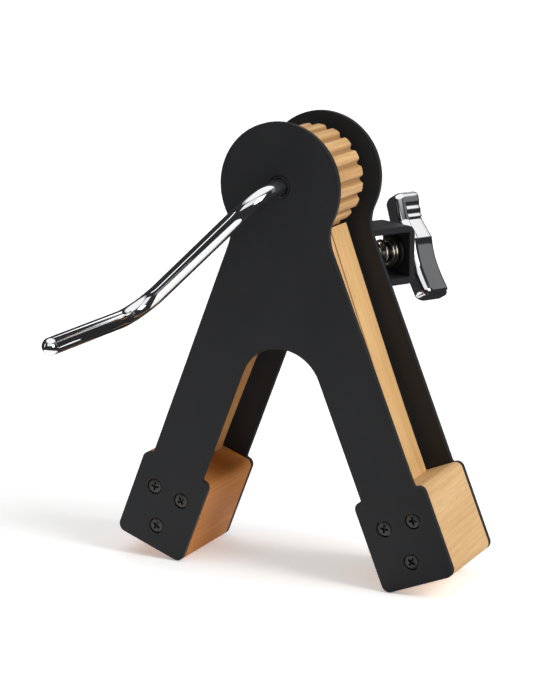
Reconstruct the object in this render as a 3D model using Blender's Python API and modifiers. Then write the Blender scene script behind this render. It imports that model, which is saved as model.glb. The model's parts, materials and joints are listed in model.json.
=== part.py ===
"""Orchestral ratchet: a toothed wooden gear, turned by a bent crank, clicks past four wooden tongues.

Two A-shaped steel plates hold the shaft at their round heads and a wooden block between each pair of feet.
The tongues stand in slots in the blocks, bent by the gear, and a clamp at the back holds a stand's rod.
Metres, +Z up. The shaft runs along Y, with the crank at -Y, the front. The origin is under the middle of
the whole object, on the surface it stands on.
"""

import math

import bmesh
import bpy
from mathutils import Matrix, Vector

MM = 0.001
WELD = 0.001 * MM

# Fits
SEAT_GAP = 0.3 * MM  # between pieces that rest on each other
RUNNING_GAP = 0.25 * MM  # round the shaft and the bolt
SLOT_PLAY = 0.4 * MM  # beside a tongue in its slot
TIP_GAP = 0.35 * MM  # from a tongue's tip to the gear's tip circle

# Side plates: a round head, two straight legs whose centre lines meet on the shaft, and wider feet
PLATE_THICKNESS = 3.0 * MM
HEAD_RADIUS = 35.0 * MM
LEG_ANGLE = math.radians(21.5)  # from the vertical
LEG_HALF_WIDTH = 16.5 * MM
NECK_FILLET = 22.0 * MM
CROTCH_RADIUS = 25.0 * MM
FOOT_HALF_WIDTH = 21.75 * MM
FOOT_START = 174.0 * MM  # along the leg from the shaft to the shoulder
FOOT_LENGTH = 51.7 * MM
SHOULDER_RADIUS = 4.0 * MM
SHOULDER_FILLET = 1.2 * MM
TOE_RADIUS = 4.5 * MM

# Foot blocks and the screws that hold the plates to them
BLOCK_WIDTH = 51.1 * MM
SCREW_SPREAD = 8.9 * MM  # either side of the leg's centre line
SCREW_UPPER_DROP = 17.4 * MM  # below the shoulder
SCREW_LOWER_DROP = 38.5 * MM
SCREW_HEAD_RADIUS = 4.25 * MM
SCREW_HEAD_HEIGHT = 2.4 * MM
SCREW_HEAD_RIM = 0.25 * MM
SCREW_HEAD_SINK = 0.1 * MM  # below the plate's face
SCREW_SHANK_RADIUS = 1.9 * MM
SCREW_LENGTH = 20.0 * MM
SCREW_POINT = 4.0 * MM
RECESS_REACH = 2.3 * MM
RECESS_HALF_WIDTH = 0.6 * MM  # where two arms of the cross meet
RECESS_END_HALF_WIDTH = 0.4 * MM
RECESS_DEPTH = 1.5 * MM

# Crank rod
ROD_RADIUS = 4.7625 * MM  # 3/8 inch bar
CRANK_RADIUS = 104.2 * MM  # from the shaft to the handle
CRANK_DROP = math.radians(43.0)  # below the level, on the left
CRANK_STANDOFF = 20.0 * MM  # from the front plate to the arm's centre line
CRANK_HANDLE = 95.0 * MM  # from the arm's centre line to the rounded end
CRANK_BEND = 20.0 * MM
SHAFT_TAIL = 6.0 * MM  # behind the rear plate
TAIL_CHAMFER = 0.8 * MM
HANDLE_END_ANGLE = math.radians(80)  # how far round the handle's end is a sphere

# Bushes, spacers, washer and ring on the shaft
BUSH_WALL = 0.9 * MM
BUSH_FLANGE = 1.5 * MM
BUSH_FLANGE_RADIUS = 9.0 * MM
SPACER_WALL = 2.0 * MM
WASHER_THICKNESS = 1.0 * MM
WASHER_RADIUS = 9.0 * MM
RING_THICKNESS = 1.2 * MM
RING_RADIUS = 7.4 * MM
RING_MOUTH = math.radians(50)
GROOVE_DEPTH = 0.9 * MM
GROOVE_STEP = 0.05 * MM  # length over which the shaft steps down into the groove

# Gear: rounded lobes with narrow notches between them
GEAR_TEETH = 20
GEAR_TIP_RADIUS = 29.2 * MM
GEAR_WIDTH = 32.3 * MM
TOOTH_DEPTH = 2.2 * MM
TOOTH_ROUNDNESS = 2.6
GEAR_PHASE = math.radians(-17.5)
PIN_RADIUS = 2.0 * MM
PIN_HEAD_DEPTH = 3.0 * MM  # the pin's outer end lies this far under the gear's tip circle
PIN_PAST_ROD = 4.0 * MM

# Tongues: two side by side in each block
TONGUE_THICKNESS = 4.9 * MM
TONGUE_WIDTH = 20.5 * MM
TONGUE_SPLIT = 1.4 * MM  # gap between the front one and the rear one
TONGUE_BEND = 3.9 * MM  # how far the gear holds each tip aside
SLOT_DEPTH = 12.0 * MM

# Stand clamp: a U-strap on the rear plate, turned aside, with a spring-loaded eye bolt and a wing handle
CLAMP_TURN = math.radians(60)  # from +X towards the rear
CLAMP_DROP = 47.4 * MM  # below the shaft
CLAMP_SIDE = 10.35 * MM  # where the clamp's axis meets the rear plate, right of the middle
STRAP_WIDTH = 25.4 * MM
STRAP_THICKNESS = 3.8 * MM
STRAP_HEIGHT = 33.2 * MM
STRAP_BEND = 1.2 * MM  # inside its corners

STAND_ROD_RADIUS = 4.7625 * MM  # the stand's 3/8 inch rod
STAND_ROD_PLAY = 1.0 * MM  # in the strap's arms
EYE_PLAY = 0.45 * MM
EYE_WALL = 2.8 * MM
EYE_HEIGHT = 6.4 * MM
EYE_CHAMFER = 0.8 * MM
EYE_CLEARANCE = 0.75 * MM  # to the rear plate
BOLT_RADIUS = 3.175 * MM  # 1/4 inch
BOLT_OUTSIDE = 10.0 * MM  # past the web's outer face, with the clamp open
BOLT_TRAVEL = 5.0 * MM  # outwards, as the wing is tightened
CLAMP_BUSH_WALL = 1.2 * MM
CLAMP_BUSH_FLANGE = 1.8 * MM
CLAMP_BUSH_RADIUS = 8.6 * MM
CLAMP_WASHER_THICKNESS = 0.8 * MM
CLAMP_WASHER_RADIUS = 8.5 * MM
SPRING_WASHER_THICKNESS = 0.8 * MM
SPRING_WASHER_RADIUS = 8.2 * MM

SPRING_WIRE = 1.8 * MM
SPRING_RADIUS = 7.1 * MM  # to the middle of the wire
SPRING_CLOSE_PITCH = 2.3 * MM
SPRING_OPEN_PITCH = 4.85 * MM
SPRING_WEB_TURNS = 1.5  # close turns at the web
SPRING_OPEN_TURNS = 2
SPRING_EYE_TURNS = 0.5  # close turns at the eye
SPRING_POINTS = 10  # along each turn

WING_TURN = math.radians(-27.5)
WING_CENTRE = (1.1 * MM, 1.8 * MM)  # the casting's middle, from the bolt's axis
WING_HALF_LENGTH = 31.8 * MM
WING_DEPTH = 16.4 * MM
WING_CORNER = 4.5 * MM
WING_RIM = 2.2 * MM
WING_LEAN = 2.8 * MM  # outwards at the ends, growing with the square of the height
WING_STANDOFF = 0.2 * MM  # from the hub's inner end to the blade
HUB_RADIUS = 5.6 * MM
CREST = 10.1 * MM  # how far the wing's side stands out at the hub
CREST_HEIGHT = 2.0 * MM  # above the casting's middle
HOLLOW = 7.4 * MM  # how far it stands out where the side is hollow
HOLLOW_HEIGHT = -14.0 * MM
PAD = 8.0 * MM  # how far it stands out at the foot
RIBS = 3
RIB_OUT = 6.0 * MM  # how far the ribs stand out
RIB_TOP = 25.2 * MM  # height of the first rib's edge
RIB_PITCH = 4.7 * MM
RIB_FALL = 2.6 * MM  # from a rib's edge down to its root
RIB_DEPTH = 0.8 * MM

# Steps of the round shapes
ROUND_STEPS = 32
SMALL_STEPS = 16
FILLET_STEPS = 5
HEAD_STEPS = 36
TOOTH_STEPS = 12
TONGUE_STEPS = 12
HOLLOW_STEPS = 6
BEND_STEPS = 8
END_STEPS = 4
ROD_RESOLUTION = 6
RIM_RESOLUTION = 2
SHARP_ANGLE = math.radians(35)

# Colours, roughness and metallic value
BLACK_STEEL = ((0.022, 0.023, 0.025), 0.5, 0.0)
BLACK_SCREW = ((0.015, 0.015, 0.016), 0.35, 0.6)
CHROME = ((0.8, 0.8, 0.8), 0.08, 1.0)
ZINC_STEEL = ((0.6, 0.6, 0.6), 0.3, 1.0)
BLACK_NYLON = ((0.018, 0.018, 0.018), 0.45, 0.0)
PALE_WOOD = ((0.74, 0.48, 0.22), 0.5, 0.0)
GOLDEN_WOOD = ((0.7, 0.42, 0.17), 0.45, 0.0)

# Places that follow from the sizes
FRAME_HALF = BLOCK_WIDTH / 2 + SEAT_GAP + PLATE_THICKNESS  # from the middle to a plate's outer face
PLATE_MIDDLE = FRAME_HALF - PLATE_THICKNESS / 2
FOOT_END = FOOT_START + FOOT_LENGTH
SHAFT_HOLE_RADIUS = ROD_RADIUS + RUNNING_GAP
BUSH_RADIUS = SHAFT_HOLE_RADIUS + BUSH_WALL
BOLT_HOLE_RADIUS = BOLT_RADIUS + RUNNING_GAP
CLAMP_BARREL_RADIUS = BOLT_HOLE_RADIUS + CLAMP_BUSH_WALL
CLAMP_AXIS = Vector((math.cos(CLAMP_TURN), math.sin(CLAMP_TURN), 0))
EYE_HOLE_RADIUS = STAND_ROD_RADIUS + EYE_PLAY
EYE_RADIUS = EYE_HOLE_RADIUS + EYE_WALL
SPRING_FACE = -STRAP_THICKNESS - SEAT_GAP - CLAMP_BUSH_FLANGE  # where the spring meets the clamp bush
SPRING_CLOSE_TURNS = SPRING_WEB_TURNS + SPRING_EYE_TURNS
SPRING_RISE = SPRING_CLOSE_TURNS * SPRING_CLOSE_PITCH + SPRING_OPEN_TURNS * SPRING_OPEN_PITCH
SPRING_END = SPRING_FACE - 2 * SEAT_GAP - SPRING_RISE - SPRING_WIRE  # where the spring's washer begins
EYE_CROWN = SPRING_END - SPRING_WASHER_THICKNESS - SEAT_GAP
EYE_CENTRE = EYE_CROWN - EYE_RADIUS
CLAMP_REACH = (EYE_RADIUS + EYE_CLEARANCE) / math.sin(CLAMP_TURN) - EYE_CENTRE  # plate to web along the axis
HUB_START = CLAMP_WASHER_THICKNESS + 2 * SEAT_GAP
BOLT_HOLE_END = BOLT_OUTSIDE + BOLT_TRAVEL + SEAT_GAP

ALONG_Y = (math.radians(-90), 0, 0)  # turns +Z to +Y
ALONG_MINUS_Y = (math.radians(90), 0, 0)
ALONG_X = (0, math.radians(90), 0)
OUTLINE_UPRIGHT = Matrix.Rotation(math.radians(90), 4, "X")  # a flat outline's x and y become X and Z
OUTLINE_ACROSS_X = Matrix(((0, 0, 1, 0), (1, 0, 0, 0), (0, 1, 0, 0), (0, 0, 0, 1)))


# Scene

def clear_scene():
    for obj in list(bpy.data.objects):
        bpy.data.objects.remove(obj, do_unlink=True)


def new_collection(name, parent):
    collection = bpy.data.collections.new(name)
    parent.children.link(collection)
    return collection


def add_empty(name, parent=None, location=(0, 0, 0), rotation=(0, 0, 0)):
    empty = bpy.data.objects.new(name, None)
    empty.parent = parent
    empty.location = location
    empty.rotation_euler = rotation
    PARTS.objects.link(empty)
    return empty


def add_piece(name, data, finish, parent, location=(0, 0, 0), rotation=(0, 0, 0)):
    """A visible piece with a material of its own."""
    piece = bpy.data.objects.new(name, data)
    piece.parent = parent
    piece.location = location
    piece.rotation_euler = rotation
    PARTS.objects.link(piece)
    colour, roughness, metallic = finish
    material = bpy.data.materials.new(name)
    material.use_nodes = True
    shader = material.node_tree.nodes["Principled BSDF"]
    shader.inputs["Base Color"].default_value = (*colour, 1)
    shader.inputs["Roughness"].default_value = roughness
    shader.inputs["Metallic"].default_value = metallic
    if not data.materials:
        data.materials.append(None)
    piece.material_slots[0].link = "OBJECT"
    piece.material_slots[0].material = material
    return piece


def add_cutter(name, mesh, parent, location=(0, 0, 0), rotation=(0, 0, 0), collection=None):
    """A helper that only cuts or joins, and isn't a piece."""
    cutter = bpy.data.objects.new(name, mesh)
    cutter.parent = parent
    cutter.location = location
    cutter.rotation_euler = rotation
    cutter.hide_render = True
    cutter.display_type = "WIRE"
    (collection or CUTTERS).objects.link(cutter)
    return cutter


def boolean(piece, cutter, operation="DIFFERENCE"):
    modifier = piece.modifiers.new(cutter.name, "BOOLEAN")
    modifier.operation = operation
    modifier.object = cutter


def cut_all(piece, collection):
    modifier = piece.modifiers.new(collection.name, "BOOLEAN")
    modifier.operand_type = "COLLECTION"
    modifier.collection = collection


# Outlines

def arc(centre, radius, start, end, steps):
    """Points from the angle start to the angle end, both included."""
    points = []
    for step in range(steps + 1):
        angle = start + (end - start) * step / steps
        points.append((centre[0] + radius * math.cos(angle), centre[1] + radius * math.sin(angle)))
    return points


def circle(radius, steps=ROUND_STEPS, centre=(0, 0)):
    return arc(centre, radius, 0, 2 * math.pi, steps)[:-1]


def fillet(before, corner, after, radius):
    """The arc that rounds a corner between two straight edges."""
    if radius == 0:
        return [tuple(corner)]
    corner = Vector(corner)
    into = (corner - Vector(before)).normalized()
    out = (Vector(after) - corner).normalized()
    turn = math.atan2(into.x * out.y - into.y * out.x, into.dot(out))
    side = math.copysign(1, turn)
    centre = corner - into * radius * math.tan(abs(turn) / 2) + Vector((-into.y, into.x)) * side * radius
    start = math.atan2(-side * into.x, side * into.y)
    return arc(centre, radius, start, start + turn, FILLET_STEPS)


def rounded(corners):
    """A closed outline of (x, y, radius) corners."""
    points = []
    for index, (x, y, radius) in enumerate(corners):
        before = corners[index - 1][:2]
        after = corners[(index + 1) % len(corners)][:2]
        points += fillet(before, (x, y), after, radius)
    return points


def mesh_of(obj):
    """The evaluated mesh of an object, welded where a curve's caps meet its sides. The object goes."""
    bpy.context.view_layer.update()
    graph = bpy.context.evaluated_depsgraph_get()
    mesh = bpy.data.meshes.new_from_object(obj.evaluated_get(graph))
    bpy.data.objects.remove(obj)
    shape = bmesh.new()
    shape.from_mesh(mesh)
    bmesh.ops.remove_doubles(shape, verts=shape.verts, dist=WELD)
    shape.to_mesh(mesh)
    shape.free()
    mesh.shade_smooth()
    mesh.set_sharp_from_angle(angle=SHARP_ANGLE)
    return mesh


def curve_mesh(curve):
    guide = bpy.data.objects.new(curve.name, curve)
    bpy.context.scene.collection.objects.link(guide)
    return mesh_of(guide)


def outline_mesh(name, loops, depth, stand, rim=0):
    """A flat outline with its holes, as thick as depth and centred on its plane, turned by stand.

    A rim rounds its edges on both faces.
    """
    curve = bpy.data.curves.new(name, "CURVE")
    curve.dimensions = "2D"
    curve.fill_mode = "BOTH"
    curve.extrude = depth / 2 - rim
    curve.bevel_depth = rim
    curve.bevel_resolution = RIM_RESOLUTION
    curve.offset = -rim
    for loop in loops:
        spline = curve.splines.new("POLY")
        spline.points.add(len(loop) - 1)
        for point, (x, y) in zip(spline.points, loop):
            point.co = (x, y, 0, 1)
        spline.use_cyclic_u = True
    mesh = curve_mesh(curve)
    mesh.transform(stand)
    return mesh


def turned_mesh(name, profile, steps=ROUND_STEPS, ring=False):
    """A profile of (radius, height), down its outer side, turned round Z. A ring's profile is closed."""
    mesh = bpy.data.meshes.new(name)
    last = len(profile) if ring else len(profile) - 1
    edges = [(index, (index + 1) % len(profile)) for index in range(last)]
    mesh.from_pydata([(radius, 0, height) for radius, height in profile], edges, [])
    guide = bpy.data.objects.new(name, mesh)
    bpy.context.scene.collection.objects.link(guide)
    screw = guide.modifiers.new("turn", "SCREW")
    screw.steps = steps
    screw.render_steps = steps
    screw.use_merge_vertices = True
    screw.merge_threshold = WELD
    return mesh_of(guide)


def sleeve_mesh(name, inner, outer, length):
    """A plain ring from height 0 up to its length."""
    return turned_mesh(name, [(outer, length), (outer, 0), (inner, 0), (inner, length)], ring=True)


def rod_mesh(name, radius, start, end, steps=ROUND_STEPS):
    """A plain cylinder along Z, from one height to another."""
    shape = bmesh.new()
    place = Matrix.Translation((0, 0, (start + end) / 2))
    bmesh.ops.create_cone(
        shape, cap_ends=True, segments=steps, radius1=radius, radius2=radius, depth=end - start, matrix=place
    )
    mesh = bpy.data.meshes.new(name)
    shape.to_mesh(mesh)
    shape.free()
    mesh.shade_smooth()
    mesh.set_sharp_from_angle(angle=SHARP_ANGLE)
    return mesh


def box_mesh(name, low, high):
    shape = bmesh.new()
    size = Vector(high) - Vector(low)
    place = Matrix.Translation((Vector(high) + Vector(low)) / 2) @ Matrix.Diagonal((*size, 1))
    bmesh.ops.create_cube(shape, size=1, matrix=place)
    mesh = bpy.data.meshes.new(name)
    shape.to_mesh(mesh)
    shape.free()
    return mesh


# Side plates

def leg_point(along, across):
    """A point of the right leg, in the plate's plane: along it from the shaft, and across it outwards."""
    x = along * math.sin(LEG_ANGLE) + across * math.cos(LEG_ANGLE)
    z = across * math.sin(LEG_ANGLE) - along * math.cos(LEG_ANGLE)
    return x, z


def plate_outline():
    """The right half from the crotch's top round the leg to the head's top, then its mirror image."""
    crotch_depth = (LEG_HALF_WIDTH + CROTCH_RADIUS) / math.sin(LEG_ANGLE)
    crotch = arc((0, -crotch_depth), CROTCH_RADIUS, math.radians(90), LEG_ANGLE, HEAD_STEPS // 3)

    neck_along = math.sqrt((HEAD_RADIUS + NECK_FILLET) ** 2 - (LEG_HALF_WIDTH + NECK_FILLET) ** 2)
    neck_centre = leg_point(neck_along, LEG_HALF_WIDTH + NECK_FILLET)
    head_start = math.atan2(neck_centre[1], neck_centre[0])
    neck_end = head_start - math.pi
    neck = arc(neck_centre, NECK_FILLET, LEG_ANGLE - math.pi, neck_end, HEAD_STEPS // 3)
    head = arc((0, 0), HEAD_RADIUS, head_start, math.radians(90), HEAD_STEPS)

    corners = (
        (FOOT_START, -LEG_HALF_WIDTH, SHOULDER_FILLET),
        (FOOT_START, -FOOT_HALF_WIDTH, SHOULDER_RADIUS),
        (FOOT_END, -FOOT_HALF_WIDTH, TOE_RADIUS),
        (FOOT_END, FOOT_HALF_WIDTH, TOE_RADIUS),
        (FOOT_START, FOOT_HALF_WIDTH, SHOULDER_RADIUS),
        (FOOT_START, LEG_HALF_WIDTH, SHOULDER_FILLET),
    )
    path = [crotch[-1]] + [leg_point(along, across) for along, across, _ in corners] + [neck[0]]
    foot = []
    for index, (_, _, radius) in enumerate(corners):
        foot += fillet(path[index], path[index + 1], path[index + 2], radius)
    right = crotch + foot + neck + head[1:]
    left = [(-x, z) for x, z in reversed(right[1:-1])]
    return right + left


def make_plates():
    bush_hole = circle(BUSH_RADIUS + SEAT_GAP)
    for name, side in (("front", -1), ("rear", 1)):
        mesh = outline_mesh(f"{name}_plate", [plate_outline(), bush_hole], PLATE_THICKNESS, OUTLINE_UPRIGHT)
        plate = add_piece(f"{name}_plate", mesh, BLACK_STEEL, SHAFT, (0, side * PLATE_MIDDLE, 0))
        cut_all(plate, SCREW_HOLES[name])


# Foot blocks, screws and tongues, made alike on both legs

def screw_profile(gap=0, above=0):
    """A countersunk wood screw from its head's top down to its point. A hole for it is larger by gap."""
    top = above - SCREW_HEAD_SINK
    head = SCREW_HEAD_RADIUS + gap
    shank = SCREW_SHANK_RADIUS + gap
    end = SCREW_LENGTH + gap
    return [
        (0, top),
        (head, top),
        (head, -SCREW_HEAD_SINK - SCREW_HEAD_RIM),
        (shank, -SCREW_HEAD_HEIGHT),
        (shank, SCREW_POINT - end),
        (0, -end),
    ]


def cross_outline():
    """The driver's recess, a cross of tapered arms: an inner corner and two end corners, four times."""
    arm = (
        (RECESS_HALF_WIDTH, RECESS_HALF_WIDTH),
        (RECESS_REACH, RECESS_END_HALF_WIDTH),
        (RECESS_REACH, -RECESS_END_HALF_WIDTH),
    )
    points = []
    for quarter in range(4):
        turn = Matrix.Rotation(-quarter * math.pi / 2, 2)
        points += [tuple(turn @ Vector(corner)) for corner in arm]
    return points


def screw_mesh():
    guide = bpy.data.objects.new("screw", turned_mesh("screw", screw_profile(), SMALL_STEPS))
    bpy.context.scene.collection.objects.link(guide)
    recess = outline_mesh("recess", [cross_outline()], 2 * RECESS_DEPTH, Matrix.Identity(4))
    cutter = add_cutter("recess", recess, None, (0, 0, -SCREW_HEAD_SINK))
    boolean(guide, cutter)
    mesh = mesh_of(guide)
    bpy.data.objects.remove(cutter)
    return mesh


def make_screws(leg_name, leg, outwards, screw, hole):
    """Three on each plate: an outer and an inner one side by side, and a lower one on the centre line."""
    places = {
        "outer": (outwards * SCREW_SPREAD, -FOOT_START - SCREW_UPPER_DROP),
        "inner": (-outwards * SCREW_SPREAD, -FOOT_START - SCREW_UPPER_DROP),
        "lower": (0, -FOOT_START - SCREW_LOWER_DROP),
    }
    for side_name, side, turn in (("front", -1, ALONG_MINUS_Y), ("rear", 1, ALONG_Y)):
        for place, (across, height) in places.items():
            name = f"{side_name}_{leg_name}_{place}_screw"
            location = (across, side * FRAME_HALF, height)
            add_piece(name, screw, BLACK_SCREW, leg, location, turn)
            add_cutter(f"{name}_hole", hole, leg, location, turn, SCREW_HOLES[side_name])


def make_block(leg_name, leg):
    top = -FOOT_START
    bottom = -FOOT_END
    corners = (
        (FOOT_HALF_WIDTH, top, SHOULDER_RADIUS),
        (FOOT_HALF_WIDTH, bottom, TOE_RADIUS),
        (-FOOT_HALF_WIDTH, bottom, TOE_RADIUS),
        (-FOOT_HALF_WIDTH, top, SHOULDER_RADIUS),
    )
    name = f"{leg_name}_foot_block"
    mesh = outline_mesh(name, [rounded(corners)], BLOCK_WIDTH, OUTLINE_UPRIGHT)
    block = add_piece(name, mesh, PALE_WOOD, leg)
    half_slot = TONGUE_THICKNESS / 2 + SLOT_PLAY
    slot_reach = TONGUE_WIDTH + TONGUE_SPLIT / 2 + SEAT_GAP
    slot = box_mesh(
        f"{name}_slot", (-half_slot, -slot_reach, top - SLOT_DEPTH), (half_slot, slot_reach, top + SLOT_DEPTH)
    )
    boolean(block, add_cutter(f"{name}_slot", slot, leg))
    for holes in SCREW_HOLES.values():
        cut_all(block, holes)


def tongue_outline():
    """A strip bent as a beam that is held at one end and pushed aside at the other.

    The heights are from the flexing axis, which lies halfway down the slot. At a share s of the free length
    the strip is aside by bend * s * s * (3 - s) / 2.
    """
    axis_depth = SLOT_DEPTH / 2
    free = FOOT_START - GEAR_TIP_RADIUS - TIP_GAP
    half = TONGUE_THICKNESS / 2
    left = [(-half, SEAT_GAP - axis_depth)]
    right = [(half, SEAT_GAP - axis_depth)]
    for step in range(TONGUE_STEPS + 1):
        share = step / TONGUE_STEPS
        aside = TONGUE_BEND * share * share * (3 - share) / 2
        lean = math.atan(TONGUE_BEND / free * (3 * share - 1.5 * share * share))
        height = axis_depth + share * free
        left.append((aside - half * math.cos(lean), height + half * math.sin(lean)))
        right.append((aside + half * math.cos(lean), height - half * math.sin(lean)))
    return left + right[::-1]


def make_tongues(leg_name, leg):
    for side_name, side in (("front", -1), ("rear", 1)):
        name = f"{leg_name}_{side_name}_tongue"
        middle = side * (TONGUE_SPLIT + TONGUE_WIDTH) / 2
        mesh = outline_mesh(name, [tongue_outline()], TONGUE_WIDTH, OUTLINE_UPRIGHT)
        add_piece(name, mesh, GOLDEN_WOOD, leg, (0, middle, -FOOT_START - SLOT_DEPTH / 2))


def make_legs():
    screw = screw_mesh()
    hole = turned_mesh("screw_hole", screw_profile(SEAT_GAP, PLATE_THICKNESS), SMALL_STEPS)
    for name, side in (("left", -1), ("right", 1)):
        leg = add_empty(f"{name}_leg", SHAFT, rotation=(0, -side * LEG_ANGLE, 0))
        make_screws(name, leg, side, screw, hole)
        make_block(name, leg)
        make_tongues(name, leg)


# Gear, crank and what is on the shaft

def gear_outline():
    """Each lobe falls from its crown to the notches as a power of the distance from the crown."""
    points = []
    for step in range(GEAR_TEETH * TOOTH_STEPS):
        from_crown = 2 * (step % TOOTH_STEPS) / TOOTH_STEPS - 1
        radius = GEAR_TIP_RADIUS - TOOTH_DEPTH * abs(from_crown) ** TOOTH_ROUNDNESS
        angle = GEAR_PHASE + 2 * math.pi * step / (GEAR_TEETH * TOOTH_STEPS)
        points.append((radius * math.cos(angle), radius * math.sin(angle)))
    return points


def crank_points():
    """Points of the rod's centre line, each with its share of the rod's thickness, from the tail forwards."""
    forward = Vector((0, -1, 0))
    arm = Vector((-math.cos(CRANK_DROP), 0, -math.sin(CRANK_DROP)))
    arm_start = forward * (FRAME_HALF + CRANK_STANDOFF)
    elbow = arm_start + arm * CRANK_RADIUS
    groove = FRAME_HALF + WASHER_THICKNESS + SEAT_GAP
    groove_end = groove + RING_THICKNESS + 2 * SEAT_GAP
    waist = 1 - GROOVE_DEPTH / ROD_RADIUS
    tail = (
        (FRAME_HALF + SHAFT_TAIL, 1 - TAIL_CHAMFER / ROD_RADIUS),
        (FRAME_HALF + SHAFT_TAIL - TAIL_CHAMFER, 1),
        (groove_end, 1),
        (groove_end - GROOVE_STEP, waist),
        (groove + GROOVE_STEP, waist),
        (groove, 1),
    )
    points = [(-forward * height, thickness) for height, thickness in tail]
    for corner, before, after in ((arm_start, forward, arm), (elbow, arm, forward)):
        for step in range(BEND_STEPS + 1):
            angle = math.pi / 2 * step / BEND_STEPS
            short = before * CRANK_BEND * (1 - math.sin(angle))
            past = after * CRANK_BEND * (1 - math.cos(angle))
            points.append((corner - short + past, 1))
    end = elbow + forward * (CRANK_HANDLE - ROD_RADIUS)
    for step in range(END_STEPS + 1):
        angle = HANDLE_END_ANGLE * step / END_STEPS
        points.append((end + forward * ROD_RADIUS * math.sin(angle), math.cos(angle)))
    return points


def tube_curve(name, points, radius, resolution):
    """A round bar along (point, share of its thickness) pairs, with closed ends."""
    curve = bpy.data.curves.new(name, "CURVE")
    curve.dimensions = "3D"
    curve.bevel_depth = radius
    curve.bevel_resolution = resolution
    curve.use_fill_caps = True
    spline = curve.splines.new("POLY")
    spline.points.add(len(points) - 1)
    for place, (point, thickness) in zip(spline.points, points):
        place.co = (*point, 1)
        place.radius = thickness
    spline.use_smooth = True
    return curve


def make_crank():
    rod = curve_mesh(tube_curve("crank_rod", crank_points(), ROD_RADIUS, ROD_RESOLUTION))
    crank = add_piece("crank_rod", rod, CHROME, SHAFT)
    bore = circle(SHAFT_HOLE_RADIUS)
    gear = outline_mesh("ratchet_gear", [gear_outline(), bore], GEAR_WIDTH, OUTLINE_UPRIGHT)
    gear = add_piece("ratchet_gear", gear, GOLDEN_WOOD, SHAFT)

    pin_start = -(ROD_RADIUS + PIN_PAST_ROD)
    pin_end = GEAR_TIP_RADIUS - PIN_HEAD_DEPTH
    pin_turn = (0, math.radians(-90), 0)  # its outer end in the notch on the left
    pin = rod_mesh("gear_pin", PIN_RADIUS, pin_start, pin_end, SMALL_STEPS)
    add_piece("gear_pin", pin, ZINC_STEEL, SHAFT, rotation=pin_turn)
    hole_end = GEAR_TIP_RADIUS + SEAT_GAP
    hole = rod_mesh("pin_hole", PIN_RADIUS + SEAT_GAP, pin_start - SEAT_GAP, hole_end, SMALL_STEPS)
    pin_hole = add_cutter("pin_hole", hole, SHAFT, rotation=pin_turn)
    boolean(crank, pin_hole)
    boolean(gear, pin_hole)


def make_shaft_fittings():
    flange_start = PLATE_THICKNESS + SEAT_GAP
    flange_end = flange_start + BUSH_FLANGE
    bush = [
        (BUSH_FLANGE_RADIUS, flange_end),
        (BUSH_FLANGE_RADIUS, flange_start),
        (BUSH_RADIUS, flange_start),
        (BUSH_RADIUS, 0),
        (SHAFT_HOLE_RADIUS, 0),
        (SHAFT_HOLE_RADIUS, flange_end),
    ]
    spacer_length = FRAME_HALF - flange_end - GEAR_WIDTH / 2 - 2 * SEAT_GAP
    spacer_radius = SHAFT_HOLE_RADIUS + SPACER_WALL
    for name, side, turn in (("front", -1, ALONG_Y), ("rear", 1, ALONG_MINUS_Y)):
        mesh = turned_mesh(f"{name}_bush", bush, ring=True)
        add_piece(f"{name}_bush", mesh, BLACK_NYLON, SHAFT, (0, side * FRAME_HALF, 0), turn)
        mesh = sleeve_mesh(f"{name}_spacer", SHAFT_HOLE_RADIUS, spacer_radius, spacer_length)
        place = (0, side * (FRAME_HALF - flange_end - SEAT_GAP), 0)
        add_piece(f"{name}_spacer", mesh, BLACK_NYLON, SHAFT, place, turn)

    washer = sleeve_mesh("thrust_washer", SHAFT_HOLE_RADIUS, WASHER_RADIUS, WASHER_THICKNESS)
    add_piece("thrust_washer", washer, ZINC_STEEL, SHAFT, (0, FRAME_HALF + SEAT_GAP, 0), ALONG_Y)

    inner = ROD_RADIUS - GROOVE_DEPTH + SEAT_GAP
    half_mouth = RING_MOUTH / 2
    outer_arc = arc((0, 0), RING_RADIUS, half_mouth, 2 * math.pi - half_mouth, ROUND_STEPS)
    inner_arc = arc((0, 0), inner, 2 * math.pi - half_mouth, half_mouth, ROUND_STEPS)
    ring = outline_mesh("retaining_ring", [outer_arc + inner_arc], RING_THICKNESS, OUTLINE_UPRIGHT)
    ring_place = FRAME_HALF + WASHER_THICKNESS + 2 * SEAT_GAP + RING_THICKNESS / 2
    add_piece("retaining_ring", ring, ZINC_STEEL, SHAFT, (0, ring_place, 0), (0, math.radians(90), 0))


# Stand clamp, in a frame whose X runs along the clamp's axis from the web's outer face

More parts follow.
